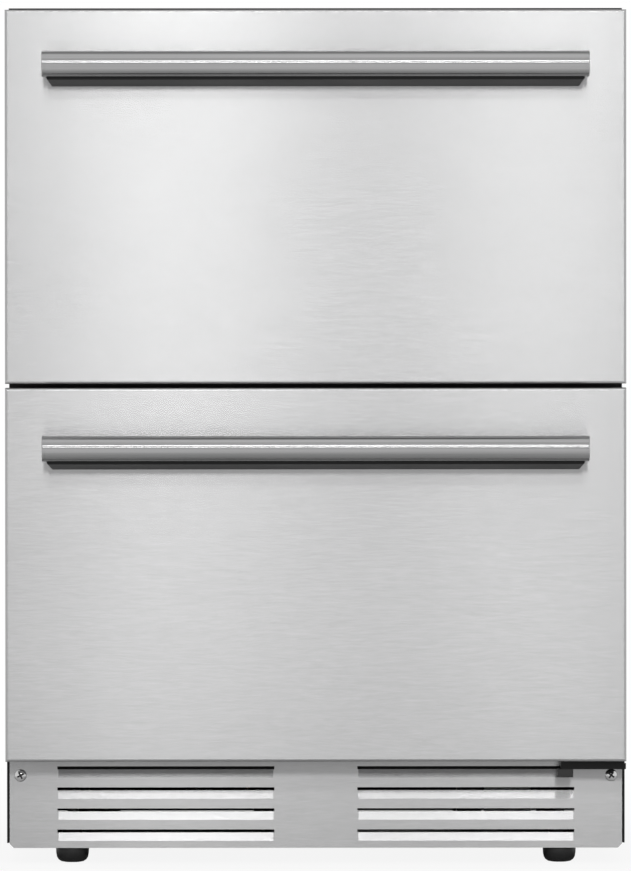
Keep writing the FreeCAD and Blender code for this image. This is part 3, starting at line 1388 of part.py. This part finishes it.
def evaporator_cover():
    """Moulded box over the evaporator: slots below, a round opening for the fan above."""
    body = new_body("evaporator_cover")
    half = "(evaporator_length/2 + cover_end_room)"
    pad(body, "XZ", (COVER_FRONT, CAVITY_BACK), rectangle((f"-{half}", half), (COVER_BOTTOM, COVER_TOP)))
    inner = f"({half} - cover_wall)"
    pocket(body, "XZ", (f"{COVER_FRONT} + cover_wall", CAVITY_BACK),
           rectangle((f"-{inner}", inner), (f"{COVER_BOTTOM} + cover_wall", f"{COVER_TOP} - cover_wall")))
    wall = (COVER_FRONT, f"{COVER_FRONT} + cover_wall")
    pocket(body, "XZ", wall, circle("0", COLD_FAN_LEVEL, "cold_fan_diameter + 2*grille_gap"))
    first = f"({COVER_BOTTOM} + 2*cover_slot_pitch)"
    reach = "evaporator_length/3"
    slot = pocket(body, "XZ", wall, rectangle((f"-{reach}", reach), (first, f"{first} + cover_slot")))
    repeat(body, slot, "Z_Axis", "cover_slot_pitch", "cover_slots")
    keep("evaporator_cover", body)


def led_lamp():
    body = new_body("led_lamp")
    front = f"({FLANGE} + lamp_setback)"
    pad(body, "XY", (f"{CAVITY_TOP} - lamp_height", CAVITY_TOP),
        rectangle(("-lamp_width/2", "lamp_width/2"), (front, f"{front} + lamp_depth")))
    round_edges(body, "lamp_height/2", lambda edge, box: close_to(edge.CenterOfMass.z, box.ZMin))
    keep("led_lamp", body)


def control_panel():
    """Flush touch panel under the roof of the cold space, just behind the upper front."""
    body = new_body("control_panel")
    front = f"({FLANGE} + control_setback)"
    half = "control_width/2"
    pad(body, "YZ", (f"-{half}", half),
        [(front, CAVITY_TOP), (front, f"{CAVITY_TOP} - control_height/3"),
         (f"{front} + control_height", f"{CAVITY_TOP} - control_height"),
         (f"{front} + control_depth", f"{CAVITY_TOP} - control_height"),
         (f"{front} + control_depth", CAVITY_TOP)])
    keep("control_panel", body)


# ------------------------------------------------------------------ the whole refrigerator
side_panel("left_side_panel", -1)
side_panel("right_side_panel", 1)
top_panel()
back_panel()
stepped_floor_panel()
inner_liner()
insulation_foam()
front_mullion()
base_frame()
for corner, (across, along) in FOOT_PLACES.items():
    levelling_foot(corner + "_foot", across, along)
kick_plate()
kick_plate_screws()
corner_bracket()
bracket_stop()
cabinet_screws()

for drawer in DRAWERS:
    front_skin(drawer)
    front_core(drawer)
    front_inner_panel(drawer)
    gasket(drawer)
    handle_bar(drawer)
    handle_web(drawer)
    handle_screws(drawer)
    bin_frame(drawer)
    bin_tub(drawer)
    slides(drawer)

compressor()
compressor_grommets()
terminal_box()
drip_tray()
coil("condenser_coil", "condenser", "Y", CONDENSER_LENGTH, CONDENSER_X, MACHINE_MIDDLE, BASE_TOP)
fan_shroud()
fan_motor("condenser_fan_motor", "motor_diameter", "motor_length",
          f"({SHROUD_LEFT} - {STRUT_LEFT} + fan_gap + fan_depth - 2*fan_gap)",
          STRUT_LEFT, MACHINE_MIDDLE, FAN_LEVEL, ALONG_X)
fan("condenser_fan", "fan_diameter", "fan_hub", "fan_depth", "fan_chord", "tip_chord",
    f"{SHROUD_LEFT} + fan_gap", MACHINE_MIDDLE, FAN_LEVEL, ALONG_X)
refrigerant_tubes()
filter_drier()
machine_rear_cover()
cord_inlet()

evaporator_cover()
coil("evaporator_coil", "evaporator", "X", "evaporator_length", "0",
     f"({CAVITY_BACK} - evaporator_thickness/2)", f"({COVER_BOTTOM} + cover_bottom_gap)")
fan_motor("evaporator_fan_motor", "cold_motor_diameter", "cold_motor_length",
          "(fan_gap + cold_fan_depth - 2*fan_gap)", "0", COLD_MOTOR_FRONT, COLD_FAN_LEVEL, ALONG_Y_BACK)
fan("evaporator_fan", "cold_fan_diameter", "cold_fan_hub", "cold_fan_depth", "cold_chord", "cold_tip_chord",
    "0", f"{COLD_MOTOR_FRONT} - fan_gap", COLD_FAN_LEVEL, ALONG_Y_BACK)
led_lamp()
control_panel()

doc.recompute()

# ------------------------------------------------------------------ checks and files
for item in doc.Objects:
    if "Invalid" in item.State or "Error" in item.State:
        raise RuntimeError(f"{item.Name} failed: {item.State}")
for node, item in parts.items():
    if item.Shape.isNull() or not item.Shape.isValid() or not item.Shape.Solids:
        raise RuntimeError(f"{node} has no sound solid")

os.makedirs("parts", exist_ok=True)
for node, item in parts.items():
    item.Shape.exportStep(f"parts/{node}.step")
print(len(parts), "nodes written")
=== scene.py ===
"""Looks of an undercounter refrigerator with two pull-out drawers."""
import json
import math

import bmesh
import bpy
from mathutils import Matrix, Vector


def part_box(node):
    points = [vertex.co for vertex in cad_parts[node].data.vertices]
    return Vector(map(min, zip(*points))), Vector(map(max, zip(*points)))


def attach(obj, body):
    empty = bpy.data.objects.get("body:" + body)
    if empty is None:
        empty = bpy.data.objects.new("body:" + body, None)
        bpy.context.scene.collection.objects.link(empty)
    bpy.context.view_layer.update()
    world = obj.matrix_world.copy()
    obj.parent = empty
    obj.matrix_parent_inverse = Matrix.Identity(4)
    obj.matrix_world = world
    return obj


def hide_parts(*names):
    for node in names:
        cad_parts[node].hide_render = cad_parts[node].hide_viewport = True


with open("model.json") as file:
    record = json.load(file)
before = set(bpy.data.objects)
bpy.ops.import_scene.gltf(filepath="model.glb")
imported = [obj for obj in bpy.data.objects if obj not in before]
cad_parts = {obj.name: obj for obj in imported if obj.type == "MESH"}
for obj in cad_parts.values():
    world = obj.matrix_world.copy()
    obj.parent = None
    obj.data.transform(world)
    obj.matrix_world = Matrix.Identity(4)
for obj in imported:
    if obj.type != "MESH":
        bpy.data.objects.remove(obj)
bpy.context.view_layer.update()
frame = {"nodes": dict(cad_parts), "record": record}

bpy.context.scene.view_settings.view_transform = "Standard"
WHITE = (1.0, 1.0, 1.0, 1.0)


def grey(level, tint=(1.0, 1.0, 1.0)):
    return (level * tint[0], level * tint[1], level * tint[2], 1.0)


def shade(colour, factor):
    """A colour made darker or lighter, never past white."""
    return tuple(min(1.0, part * factor) for part in colour[:3]) + (1.0,)


# ---------------------------------------------------------------- node helpers
def feed(tree, sockets, values):
    """Gives each socket, by its name or number, a value or another node's output."""
    for key, value in values.items():
        if isinstance(value, bpy.types.NodeSocket):
            tree.links.new(value, sockets[key])
        else:
            sockets[key].default_value = value


def add(tree, kind, inputs=None, **settings):
    """One shader node with its settings and inputs."""
    made = tree.nodes.new("ShaderNode" + kind)
    for name, value in settings.items():
        setattr(made, name, value)
    feed(tree, made.inputs, inputs or {})
    return made


def math_node(tree, operation, *values):
    return add(tree, "Math", dict(enumerate(values)), operation=operation).outputs[0]


def remap(tree, value, before=(0.0, 1.0), after=(0.0, 1.0)):
    """A value moved from the range before to the range after, and held at its ends."""
    ends = {"From Min": before[0], "From Max": before[1], "To Min": after[0], "To Max": after[1]}
    return add(tree, "MapRange", {"Value": value, **ends}).outputs["Result"]


def blend(tree, share, first, second):
    """A number between two others; a share of 1 gives the second."""
    return add(tree, "Mix", {0: share, 2: first, 3: second}).outputs[0]


def blend_colours(tree, share, first, second):
    return add(tree, "Mix", {0: share, 6: first, 7: second}, data_type="RGBA").outputs[2]


def noise(tree, place, scale, detail=2.0, roughness=0.5):
    inputs = {"Vector": place, "Scale": scale, "Detail": detail, "Roughness": roughness}
    return add(tree, "TexNoise", inputs).outputs


def combine(tree, parts):
    return add(tree, "CombineXYZ", dict(enumerate(parts))).outputs[0]


# ---------------------------------------------------------------- shared effects
def shader_group(name, sizes, results):
    """An empty group: it takes a place on the object and named sizes in metres, and gives named numbers."""
    group = bpy.data.node_groups.new(name, "ShaderNodeTree")
    group.interface.new_socket("Vector", in_out="INPUT", socket_type="NodeSocketVector")
    for label in sizes:
        group.interface.new_socket(label, in_out="INPUT", socket_type="NodeSocketFloat")
    for label in results:
        group.interface.new_socket(label, in_out="OUTPUT", socket_type="NodeSocketFloat")
    return group, group.nodes.new("NodeGroupInput").outputs, group.nodes.new("NodeGroupOutput").inputs


def brush_group():
    """Fine streaks of a brushed sheet, along X, with some broader bands among them."""
    band_scale, band_share = (0.31, 0.22, 0.22), 0.25
    tree, given, result = shader_group("brush_lines", ("Length", "Width"), ("Height", "Tone"))
    size = combine(tree, (given["Length"], given["Width"], given["Width"]))
    fine = add(tree, "VectorMath", {0: given["Vector"], 1: size}, operation="DIVIDE").outputs[0]
    coarse = add(tree, "VectorMath", {0: fine, 1: band_scale}, operation="MULTIPLY").outputs[0]
    lines = noise(tree, fine, 1.0, 2.0, 0.6)[0]
    bands = noise(tree, coarse, 1.0, 3.0, 0.55)[0]
    feed(tree, result, {"Height": lines, "Tone": blend(tree, band_share, lines, bands)})
    return tree


def cloud_group():
    """Slow change of tone over a surface, such as handling marks and uneven finish."""
    tree, given, result = shader_group("slow_tone", ("Size",), ("Tone",))
    inverse = math_node(tree, "DIVIDE", 1.0, given["Size"])
    feed(tree, result, {"Tone": noise(tree, given["Vector"], inverse, 3.0)[0]})
    return tree


def grain_group():
    """Grain of moulded plastic or powder coat, and patches many grains wide."""
    patch_scale = 0.02
    tree, given, result = shader_group("fine_grain", ("Size",), ("Height", "Tone"))
    inverse = math_node(tree, "DIVIDE", 1.0, given["Size"])
    patches = noise(tree, given["Vector"], math_node(tree, "MULTIPLY", inverse, patch_scale))[0]
    feed(tree, result, {"Height": noise(tree, given["Vector"], inverse)[0], "Tone": patches})
    return tree


def crystal_group():
    """Spangle of zinc-coated sheet: cells with bent edges."""
    bend_scale, bend_metres = 2.0, 0.006
    tree, given, result = shader_group("zinc_spangle", ("Size",), ("Tone",))
    inverse = math_node(tree, "DIVIDE", 1.0, given["Size"])
    bend = noise(tree, given["Vector"], math_node(tree, "MULTIPLY", inverse, bend_scale))["Color"]
    shift = add(tree, "VectorMath", {0: bend, "Scale": bend_metres}, operation="SCALE").outputs[0]
    place = add(tree, "VectorMath", {0: given["Vector"], 1: shift}, operation="ADD").outputs[0]
    cells = add(tree, "TexVoronoi", {"Vector": place, "Scale": inverse})
    feed(tree, result, {"Tone": add(tree, "SeparateColor", {0: cells.outputs["Color"]}).outputs[0]})
    return tree


BRUSH, CLOUD, GRAIN, CRYSTALS = brush_group(), cloud_group(), grain_group(), crystal_group()


def use_group(tree, group, **values):
    return add(tree, "Group", values, node_tree=group).outputs


# ---------------------------------------------------------------- materials
def new_material(name, **constants):
    """A material with one Principled shader, its plain numbers set on its own sockets."""
    material = bpy.data.materials.new(name)
    material.use_nodes = True
    tree = material.node_tree
    shader = tree.nodes["Principled BSDF"]
    for label, value in constants.items():
        shader.inputs[label.replace("_", " ")].default_value = value
    return material, tree, shader, add(tree, "TexCoord").outputs["Object"]


def set_surface(tree, shader, colour, tone, roughness, height, depth):
    """Links the colour, a roughness between two ends by the tone, and relief of a depth in metres."""
    feed(tree, shader.inputs, {"Base Color": colour, "Roughness": remap(tree, tone, after=roughness)})
    if depth:
        bump = add(tree, "Bump", {"Height": height, "Distance": depth, "Strength": 1.0})
        feed(tree, shader.inputs, {"Normal": bump.outputs[0]})


def around(middle, share):
    return middle * (1 - share), middle * (1 + share)


def brushed_steel(name, level, roughness, length, width, spread_along, depth):
    """Brushed metal: streaks of tone along X, and light that spreads along the direction given."""
    tint, contrast, slow_share = (0.995, 0.996, 1.0), 0.2, 0.3
    material, tree, shader, place = new_material(name, Metallic=1.0, Anisotropic=1.0)
    brush = use_group(tree, BRUSH, Vector=place, Length=length, Width=width)
    slow = use_group(tree, CLOUD, Vector=place, Size=0.25)
    share = blend(tree, slow_share, brush["Tone"], slow["Tone"])
    dark, light = (grey(end, tint) for end in around(level, contrast))
    colour = blend_colours(tree, share, dark, light)
    set_surface(tree, shader, colour, brush["Tone"], around(roughness, 0.07), brush["Height"], depth)
    feed(tree, shader.inputs, {"Tangent": combine(tree, spread_along)})
    return material


def plated(name, level, roughness, tint=(1.0, 1.0, 1.0)):
    """Smooth plated or drawn metal, a little uneven in tone and gloss."""
    material, tree, shader, place = new_material(name, Metallic=1.0)
    slow = use_group(tree, CLOUD, Vector=place, Size=0.03)
    grain = use_group(tree, GRAIN, Vector=place, Size=0.0008)
    colour = blend_colours(tree, slow["Tone"], grey(level * 0.9, tint), grey(level * 1.06, tint))
    gloss = (roughness * 0.7, roughness * 1.4)
    set_surface(tree, shader, colour, slow["Tone"], gloss, grain["Height"], 0.000004)
    return material


def zinc_sheet(name, level):
    """Zinc-coated sheet with its spangle, cooler in the dark cells."""
    dark, light = grey(level * 0.86, (0.97, 1.0, 1.03)), grey(level * 1.1, (0.98, 1.0, 1.01))
    slow_share = 0.35
    material, tree, shader, place = new_material(name, Metallic=1.0)
    crystals = use_group(tree, CRYSTALS, Vector=place, Size=0.011)
    slow = use_group(tree, CLOUD, Vector=place, Size=0.15)
    share = blend(tree, slow_share, crystals["Tone"], slow["Tone"])
    colour = blend_colours(tree, share, dark, light)
    set_surface(tree, shader, colour, crystals["Tone"], (0.32, 0.5), crystals["Tone"], 0.00002)
    return material


def moulded(name, colour, roughness, grain_size=0.0006, depth=0.00001, change=0.05, **constants):
    """Plastic, rubber or paint: fine grain, a slow change of tone and of gloss."""
    material, tree, shader, place = new_material(name, **constants)
    grain = use_group(tree, GRAIN, Vector=place, Size=grain_size)
    slow = use_group(tree, CLOUD, Vector=place, Size=0.08)
    share = blend(tree, 0.5, grain["Tone"], slow["Tone"])
    both = blend_colours(tree, share, shade(colour, 1 - change), shade(colour, 1 + change))
    set_surface(tree, shader, both, slow["Tone"], around(roughness, 0.15), grain["Height"], depth)
    return material


def foam_cells(name):
    """Pale yellow foam with open cells."""
    dark, light = (0.78, 0.66, 0.40, 1.0), (0.90, 0.80, 0.55, 1.0)
    material, tree, shader, place = new_material(name)
    cells = add(tree, "TexVoronoi", {"Vector": place, "Scale": 900.0})
    slow = use_group(tree, CLOUD, Vector=place, Size=0.05)
    colour = blend_colours(tree, slow["Tone"], dark, light)
    set_surface(tree, shader, colour, slow["Tone"], (0.8, 0.95), cells.outputs["Distance"], 0.0004)
    return material


finishes = {
    "stainless": brushed_steel("stainless", 0.47, 0.23, length=0.012, width=0.0008,
                               spread_along=(0.0, 0.0, 1.0), depth=0.00001),
    # The bar's steel is darker than the fronts' as painted shade: it stands in for the darker room that the
    # round bar reflects.
    "polished_bar": brushed_steel("polished_bar", 0.41, 0.18, length=0.3, width=0.0012,
                                  spread_along=(1.0, 0.0, 0.02), depth=0.0),
    "black_paint": moulded("black_paint", grey(0.014), 0.42, grain_size=0.0012, depth=0.00003,
                           Specular_IOR_Level=0.15),
    "galvanised": zinc_sheet("galvanised", 0.56),
    "zinc": plated("zinc", 0.6, 0.3, (0.99, 1.0, 0.97)),
    "screw_chrome": plated("screw_chrome", 0.72, 0.14),
    "liner_white": moulded("liner_white", (0.82, 0.83, 0.83), 0.3, grain_size=0.002, change=0.02),
    "bin_grey": moulded("bin_grey", (0.66, 0.69, 0.71), 0.28, grain_size=0.002, change=0.03),
    "foam": foam_cells("foam"),
    "seal_grey": moulded("seal_grey", (0.22, 0.22, 0.23), 0.55, grain_size=0.0008),
    "black_plastic": moulded("black_plastic", grey(0.018), 0.38, grain_size=0.0007, depth=0.00002),
    "rubber": moulded("rubber", grey(0.022), 0.65, depth=0.00002),
    "black_enamel": moulded("black_enamel", grey(0.014), 0.2, grain_size=0.003, depth=0.00003),
    "fin_aluminium": plated("fin_aluminium", 0.75, 0.4),
    "copper": plated("copper", 0.8, 0.25, (1.0, 0.55, 0.38)),
    "motor_steel": moulded("motor_steel", (0.28, 0.29, 0.30), 0.4),
    "fan_plastic": moulded("fan_plastic", (0.10, 0.10, 0.11), 0.4),
    "lamp_white": moulded("lamp_white", (0.90, 0.91, 0.89), 0.5),
    "panel_gloss": moulded("panel_gloss", grey(0.012), 0.08, grain_size=0.002, depth=0.000002),
}
# Painted shade: a dark colour for the faces inside a screw's cross recess, in place of the shade that falls
# there.
RECESS_SHADE = moulded("screw_recess_shade", grey(0.03), 0.5, grain_size=0.0004)
for part in frame["record"]["subparts"]:
    for holder in frame["nodes"][part["node"]].material_slots:
        holder.material = finishes[part["material_slot"]]


# ---------------------------------------------------------------- turned pieces
MERGE_WITHIN = 1e-6
TURN_STEPS = 48


def in_scene(name, data):
    made = bpy.data.objects.new(name, data)
    bpy.context.scene.collection.objects.link(made)
    return made


def select_only(pieces):
    """Selects these pieces alone and makes the first one active."""
    bpy.ops.object.select_all(action="DESELECT")
    for piece in pieces:
        piece.select_set(True)
    bpy.context.view_layer.objects.active = pieces[0]


def lathe(name, outline):
    """A solid turned about Z from (radius, level) points that start and end on the axis."""
    mesh = bpy.data.meshes.new(name)
    points = [(radius, 0.0, level) for radius, level in outline]
    mesh.from_pydata(points, [(n, n + 1) for n in range(len(points) - 1)], [])
    turned = in_scene(name, mesh)
    turn = turned.modifiers.new("turn", "SCREW")
    turn.steps = turn.render_steps = TURN_STEPS
    turn.use_merge_vertices = True
    turn.merge_threshold = MERGE_WITHIN
    turn.use_normal_calculate = True
    select_only([turned])
    bpy.ops.object.modifier_apply(modifier=turn.name)
    return turned


def smooth(piece, degrees):
    select_only([piece])
    bpy.ops.object.shade_smooth_by_angle(angle=math.radians(degrees))


# ---------------------------------------------------------------- screws with cross recesses
# Shares of a head's radius, and for the recess's depth of its height.
SLOT_LENGTH, SLOT_WIDTH, SLOT_DEPTH, SHANK_RADIUS = 1.15, 0.28, 0.7, 0.4
DOME_POWER = 0.8  # below 1 the dome is fuller than an ellipse
DOME_STEP_DEGREES, HEAD_SMOOTH_DEGREES = 10, 35
KICK_SCREW_HEAD, OTHER_SCREW_HEAD = 0.003, 0.0024


def islands(node):
    """Boxes of the separate solids in a CAD node, in the order of their low corners to 0.1 mm."""
    mesh = bmesh.new()
    mesh.from_mesh(frame["nodes"][node].data)
    bmesh.ops.remove_doubles(mesh, verts=mesh.verts, dist=MERGE_WITHIN)
    waiting, boxes = set(mesh.verts), []
    while waiting:
        border, found = [waiting.pop()], []
        while border:
            vertex = border.pop()
            found.append(vertex.co.copy())
            for edge in vertex.link_edges:
                other = edge.other_vert(vertex)
                if other in waiting:
                    waiting.remove(other)
                    border.append(other)
        boxes.append((Vector(map(min, zip(*found))), Vector(map(max, zip(*found)))))
    mesh.free()
    return sorted(boxes, key=lambda box: [round(part, 4) for part in box[0]])


def slot_cutters(radius, height):
    """Two crossed boxes centred on the dome's top, so that half of their height is the recess's depth."""
    bpy.ops.mesh.primitive_cube_add(size=1, location=(0, -height, 0))
    first = bpy.context.active_object
    first.scale = (radius * SLOT_LENGTH, height * 2 * SLOT_DEPTH, radius * SLOT_WIDTH)
    bpy.ops.object.transform_apply(location=True, rotation=True, scale=True)
    second = in_scene("second_slot", first.data.copy())
    second.data.transform(Matrix.Rotation(math.pi / 2, 4, "Y"))
    return first, second


def crossed_screw(name, radius, height, shank, slot):
    """Screw that faces -Y, its seat at the origin: a domed head with a cross recess whose faces carry
    painted shade, and a shank.
    """
    shank_radius = radius * SHANK_RADIUS
    outline = [(0.0, -shank), (shank_radius, -shank), (shank_radius, 0.0)]
    for degrees in range(90, -1, -DOME_STEP_DEGREES):
        angle = math.radians(degrees)
        outline.append((radius * math.sin(angle) ** DOME_POWER, height * math.cos(angle)))
    head = lathe(name, outline)
    head.data.transform(Matrix.Rotation(math.pi / 2, 4, "X"))
    for cutter in slot_cutters(radius, height):
        cut = head.modifiers.new("recess", "BOOLEAN")
        cut.operation = "DIFFERENCE"
        cut.solver = "EXACT"
        cut.object = cutter
        select_only([head])
        bpy.ops.object.modifier_apply(modifier=cut.name)
        bpy.data.objects.remove(cutter)
    head.data.materials.append(finishes[slot])
    head.data.materials.append(RECESS_SHADE)
    # The recess's walls and ground get painted shade, a dark colour that stands in for the shade inside the
    # cross; so does the hidden shank.
    near_axis, below_dome = radius * 0.7, -height * 0.5
    for face in head.data.polygons:
        upright, flat = abs(face.normal.y) < 0.05, face.normal.y < -0.99
        wall = upright and math.hypot(face.center.x, face.center.z) < near_axis
        ground = flat and face.center.y > below_dome
        face.material_index = int(wall or ground)
    smooth(head, HEAD_SMOOTH_DEGREES)
    return head


def set_screws(node, body, slot, head_height, turn):
    """One crossed screw for each solid of a screw node, each turned further by an angle in radians.

    All have the size of the first solid.
    """
    boxes = islands(node)
    low, high = boxes[0]
    shank = high.y - low.y - head_height
    head = crossed_screw(node + "_head", (high.x - low.x) / 2, head_height, shank, slot)
    pieces = []
    for number, (low, high) in enumerate(boxes, start=1):
        middle = (low + high) / 2
        seat = low.y + head_height
        turned = Matrix.Rotation(turn * number, 4, "Y")
        if middle.y > 0:
            seat = high.y - head_height
            turned = Matrix.Rotation(math.pi, 4, "Z") @ turned
        piece = in_scene(f"{node}_{number}", head.data.copy())
        piece.data.transform(Matrix.Translation((middle.x, seat, middle.z)) @ turned)
        pieces.append(piece)
    bpy.data.objects.remove(head)
    select_only(pieces)
    if len(pieces) > 1:
        bpy.ops.object.join()
    joined = bpy.context.active_object
    joined.name = node + "_crossed"
    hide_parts(node)
    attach(joined, body)


set_screws("kick_plate_screws", "cabinet", "screw_chrome", KICK_SCREW_HEAD, turn=1.1)
set_screws("cabinet_screws", "cabinet", "black_paint", OTHER_SCREW_HEAD, turn=0.7)
for drawer in ("upper", "lower"):
    set_screws(drawer + "_handle_screws", drawer + "_drawer", "screw_chrome", OTHER_SCREW_HEAD, turn=0.9)


# ---------------------------------------------------------------- levelling feet
FOOT_TOP, STEM_RADIUS = 0.0155, 0.005
# The rounded edge from below: shares of the foot's radius, and levels.
FOOT_EDGE = ((0.0, 0.0), (0.45, 0.0), (0.68, 0.0007), (0.84, 0.0024), (0.94, 0.005), (0.985, 0.009),
             (1.0, 0.0135), (0.95, FOOT_TOP))
FOOT_SMOOTH_DEGREES = 40


def rounded_foot(node):
    """Foot with a rounded lower edge, which reaches up behind the kick plate, on its stem."""
    low, high = (Vector(corner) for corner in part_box(node))
    radius, stem_top = (high.x - low.x) / 2, high.z - low.z
    outline = [(radius * share, level) for share, level in FOOT_EDGE]
    outline += [(STEM_RADIUS, FOOT_TOP), (STEM_RADIUS, stem_top), (0.0, stem_top)]
    foot = lathe(node + "_rounded", outline)
    foot.data.transform(Matrix.Translation(((low.x + high.x) / 2, (low.y + high.y) / 2, low.z)))
    foot.data.materials.append(finishes["black_plastic"])
    smooth(foot, FOOT_SMOOTH_DEGREES)
    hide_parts(node)
    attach(foot, node)


for corner in ("front_left", "front_right", "rear_left", "rear_right"):
    rounded_foot(corner + "_foot")


# ---------------------------------------------------------------- camera
LENS, SENSOR_WIDTH, CLIP_END = 372.2, 36.0, 200.0
CAMERA_PLACE = (-0.01316, -8.88354, 0.52826)
RIGHT = Vector((0.9999986, -0.0015140, -0.0006913))
VIEW = Vector((0.0015046, 0.9999086, -0.0134382))
UP = RIGHT.cross(VIEW).normalized()

camera_data = bpy.data.cameras.new("photo_camera")
camera_data.lens, camera_data.sensor_width, camera_data.clip_end = LENS, SENSOR_WIDTH, CLIP_END
camera = in_scene("photo_camera", camera_data)
camera.matrix_world = Matrix.Translation(CAMERA_PLACE) @ Matrix((RIGHT, UP, -VIEW)).transposed().to_4x4()
bpy.context.scene.camera = camera


# ---------------------------------------------------------------- floor and room
# The white room's strength for the camera, for diffuse light and in mirrors.
ROOM_SEEN, ROOM_DIFFUSE, ROOM_MIRRORED = 1.0, 0.7, 0.8
ROOM_MIRRORED_HIGH = 0.4
FLOOR_RADIUS, FLOOR_CORNERS, FLOOR_GREY = 60.0, 96, 0.7


def floor_paint():
    """Grey paint in diffuse light. The camera sees it white, with a faint shadow near the object."""
    camera_range, camera_glow = (0.5, 1.6), (0.9, ROOM_SEEN)
    # Metal and glass see the pale floor too, but less of it beside the object.
    mirror_range, mirror_glow = (0.5, 1.2), (0.0, ROOM_MIRRORED)
    material = bpy.data.materials.new("floor")
    material.use_nodes = True
    tree = material.node_tree
    tree.nodes.clear()
    path = add(tree, "LightPath").outputs
    place = add(tree, "TexCoord").outputs["Object"]
    distance = add(tree, "VectorMath", {0: place}, operation="LENGTH").outputs["Value"]
    for_camera = remap(tree, distance, camera_range, camera_glow)
    in_mirrors = remap(tree, distance, mirror_range, mirror_glow)
    mirror_ray = math_node(tree, "MAXIMUM", path["Is Glossy Ray"], path["Is Transmission Ray"])
    share = math_node(tree, "ADD", math_node(tree, "MULTIPLY", path["Is Camera Ray"], for_camera),
                      math_node(tree, "MULTIPLY", mirror_ray, in_mirrors))
    paint = add(tree, "BsdfDiffuse", {"Color": grey(FLOOR_GREY)}).outputs[0]
    glow = add(tree, "Emission", {"Color": WHITE, "Strength": 1.0}).outputs[0]
    mixed = add(tree, "MixShader", {0: share, 1: paint, 2: glow}).outputs[0]
    add(tree, "OutputMaterial", {"Surface": mixed})
    return material


def studio_world():
    """Mirrored rays meet the white backdrop, a pale room in front of it and a dimmer one high over it."""
    behind_range, high_range = (-0.1, 0.3), (0.35, 0.6)
    world = bpy.data.worlds.new("studio")
    world.use_nodes = True
    tree = world.node_tree
    tree.nodes.clear()
    path = add(tree, "LightPath").outputs
    direction = add(tree, "SeparateXYZ", {0: add(tree, "TexCoord").outputs["Generated"]}).outputs
    behind = remap(tree, direction["Y"], behind_range)
    high = remap(tree, direction["Z"], high_range)
    backdrop_side = blend(tree, high, ROOM_SEEN, ROOM_MIRRORED_HIGH)
    mirrored = blend(tree, behind, ROOM_MIRRORED, backdrop_side)
    seen = math_node(tree, "MAXIMUM", path["Is Camera Ray"], path["Is Transmission Ray"])
    strength = blend(tree, path["Is Glossy Ray"], ROOM_DIFFUSE, mirrored)
    strength = blend(tree, seen, strength, ROOM_SEEN)
    backdrop = add(tree, "Background", {"Color": WHITE, "Strength": strength}).outputs[0]
    add(tree, "OutputWorld", {"Surface": backdrop})
    return world


bpy.ops.mesh.primitive_circle_add(vertices=FLOOR_CORNERS, radius=FLOOR_RADIUS, fill_type="NGON",
                                  location=(0, 0, 0))
floor = bpy.context.active_object
floor.name = "floor"
floor.data.materials.append(floor_paint())
bpy.context.scene.world = studio_world()


# ---------------------------------------------------------------- lamps
def softbox(name, place, target, size, power):
    """A rectangular lamp at a place, aimed at a target; size in metres, power in watts."""
    light = bpy.data.lights.new(name, "AREA")
    light.shape = "RECTANGLE"
    light.size, light.size_y = size
    light.energy = power
    toward = (Vector(target) - Vector(place)).normalized()
    lamp = in_scene(name, light)
    lamp.matrix_world = Matrix.Translation(place) @ toward.to_track_quat("-Z", "Y").to_matrix().to_4x4()


FRONTS = (0, -0.25, 0.6)
softbox("front_left", (-0.27, -9.2, 2.8), FRONTS, (0.4, 0.8), 18.0)
softbox("front_right", (0.48, -9.2, 2.8), FRONTS, (0.3, 0.8), 13.5)
softbox("high_strip", (0.1, -4.3, 2.6), FRONTS, (1.6, 0.2), 10.0)
softbox("overhead", (0.0, -0.8, 3.0), (0.0, -0.3, 0.0), (2.5, 2.0), 3.0)

bpy.context.view_layer.update()
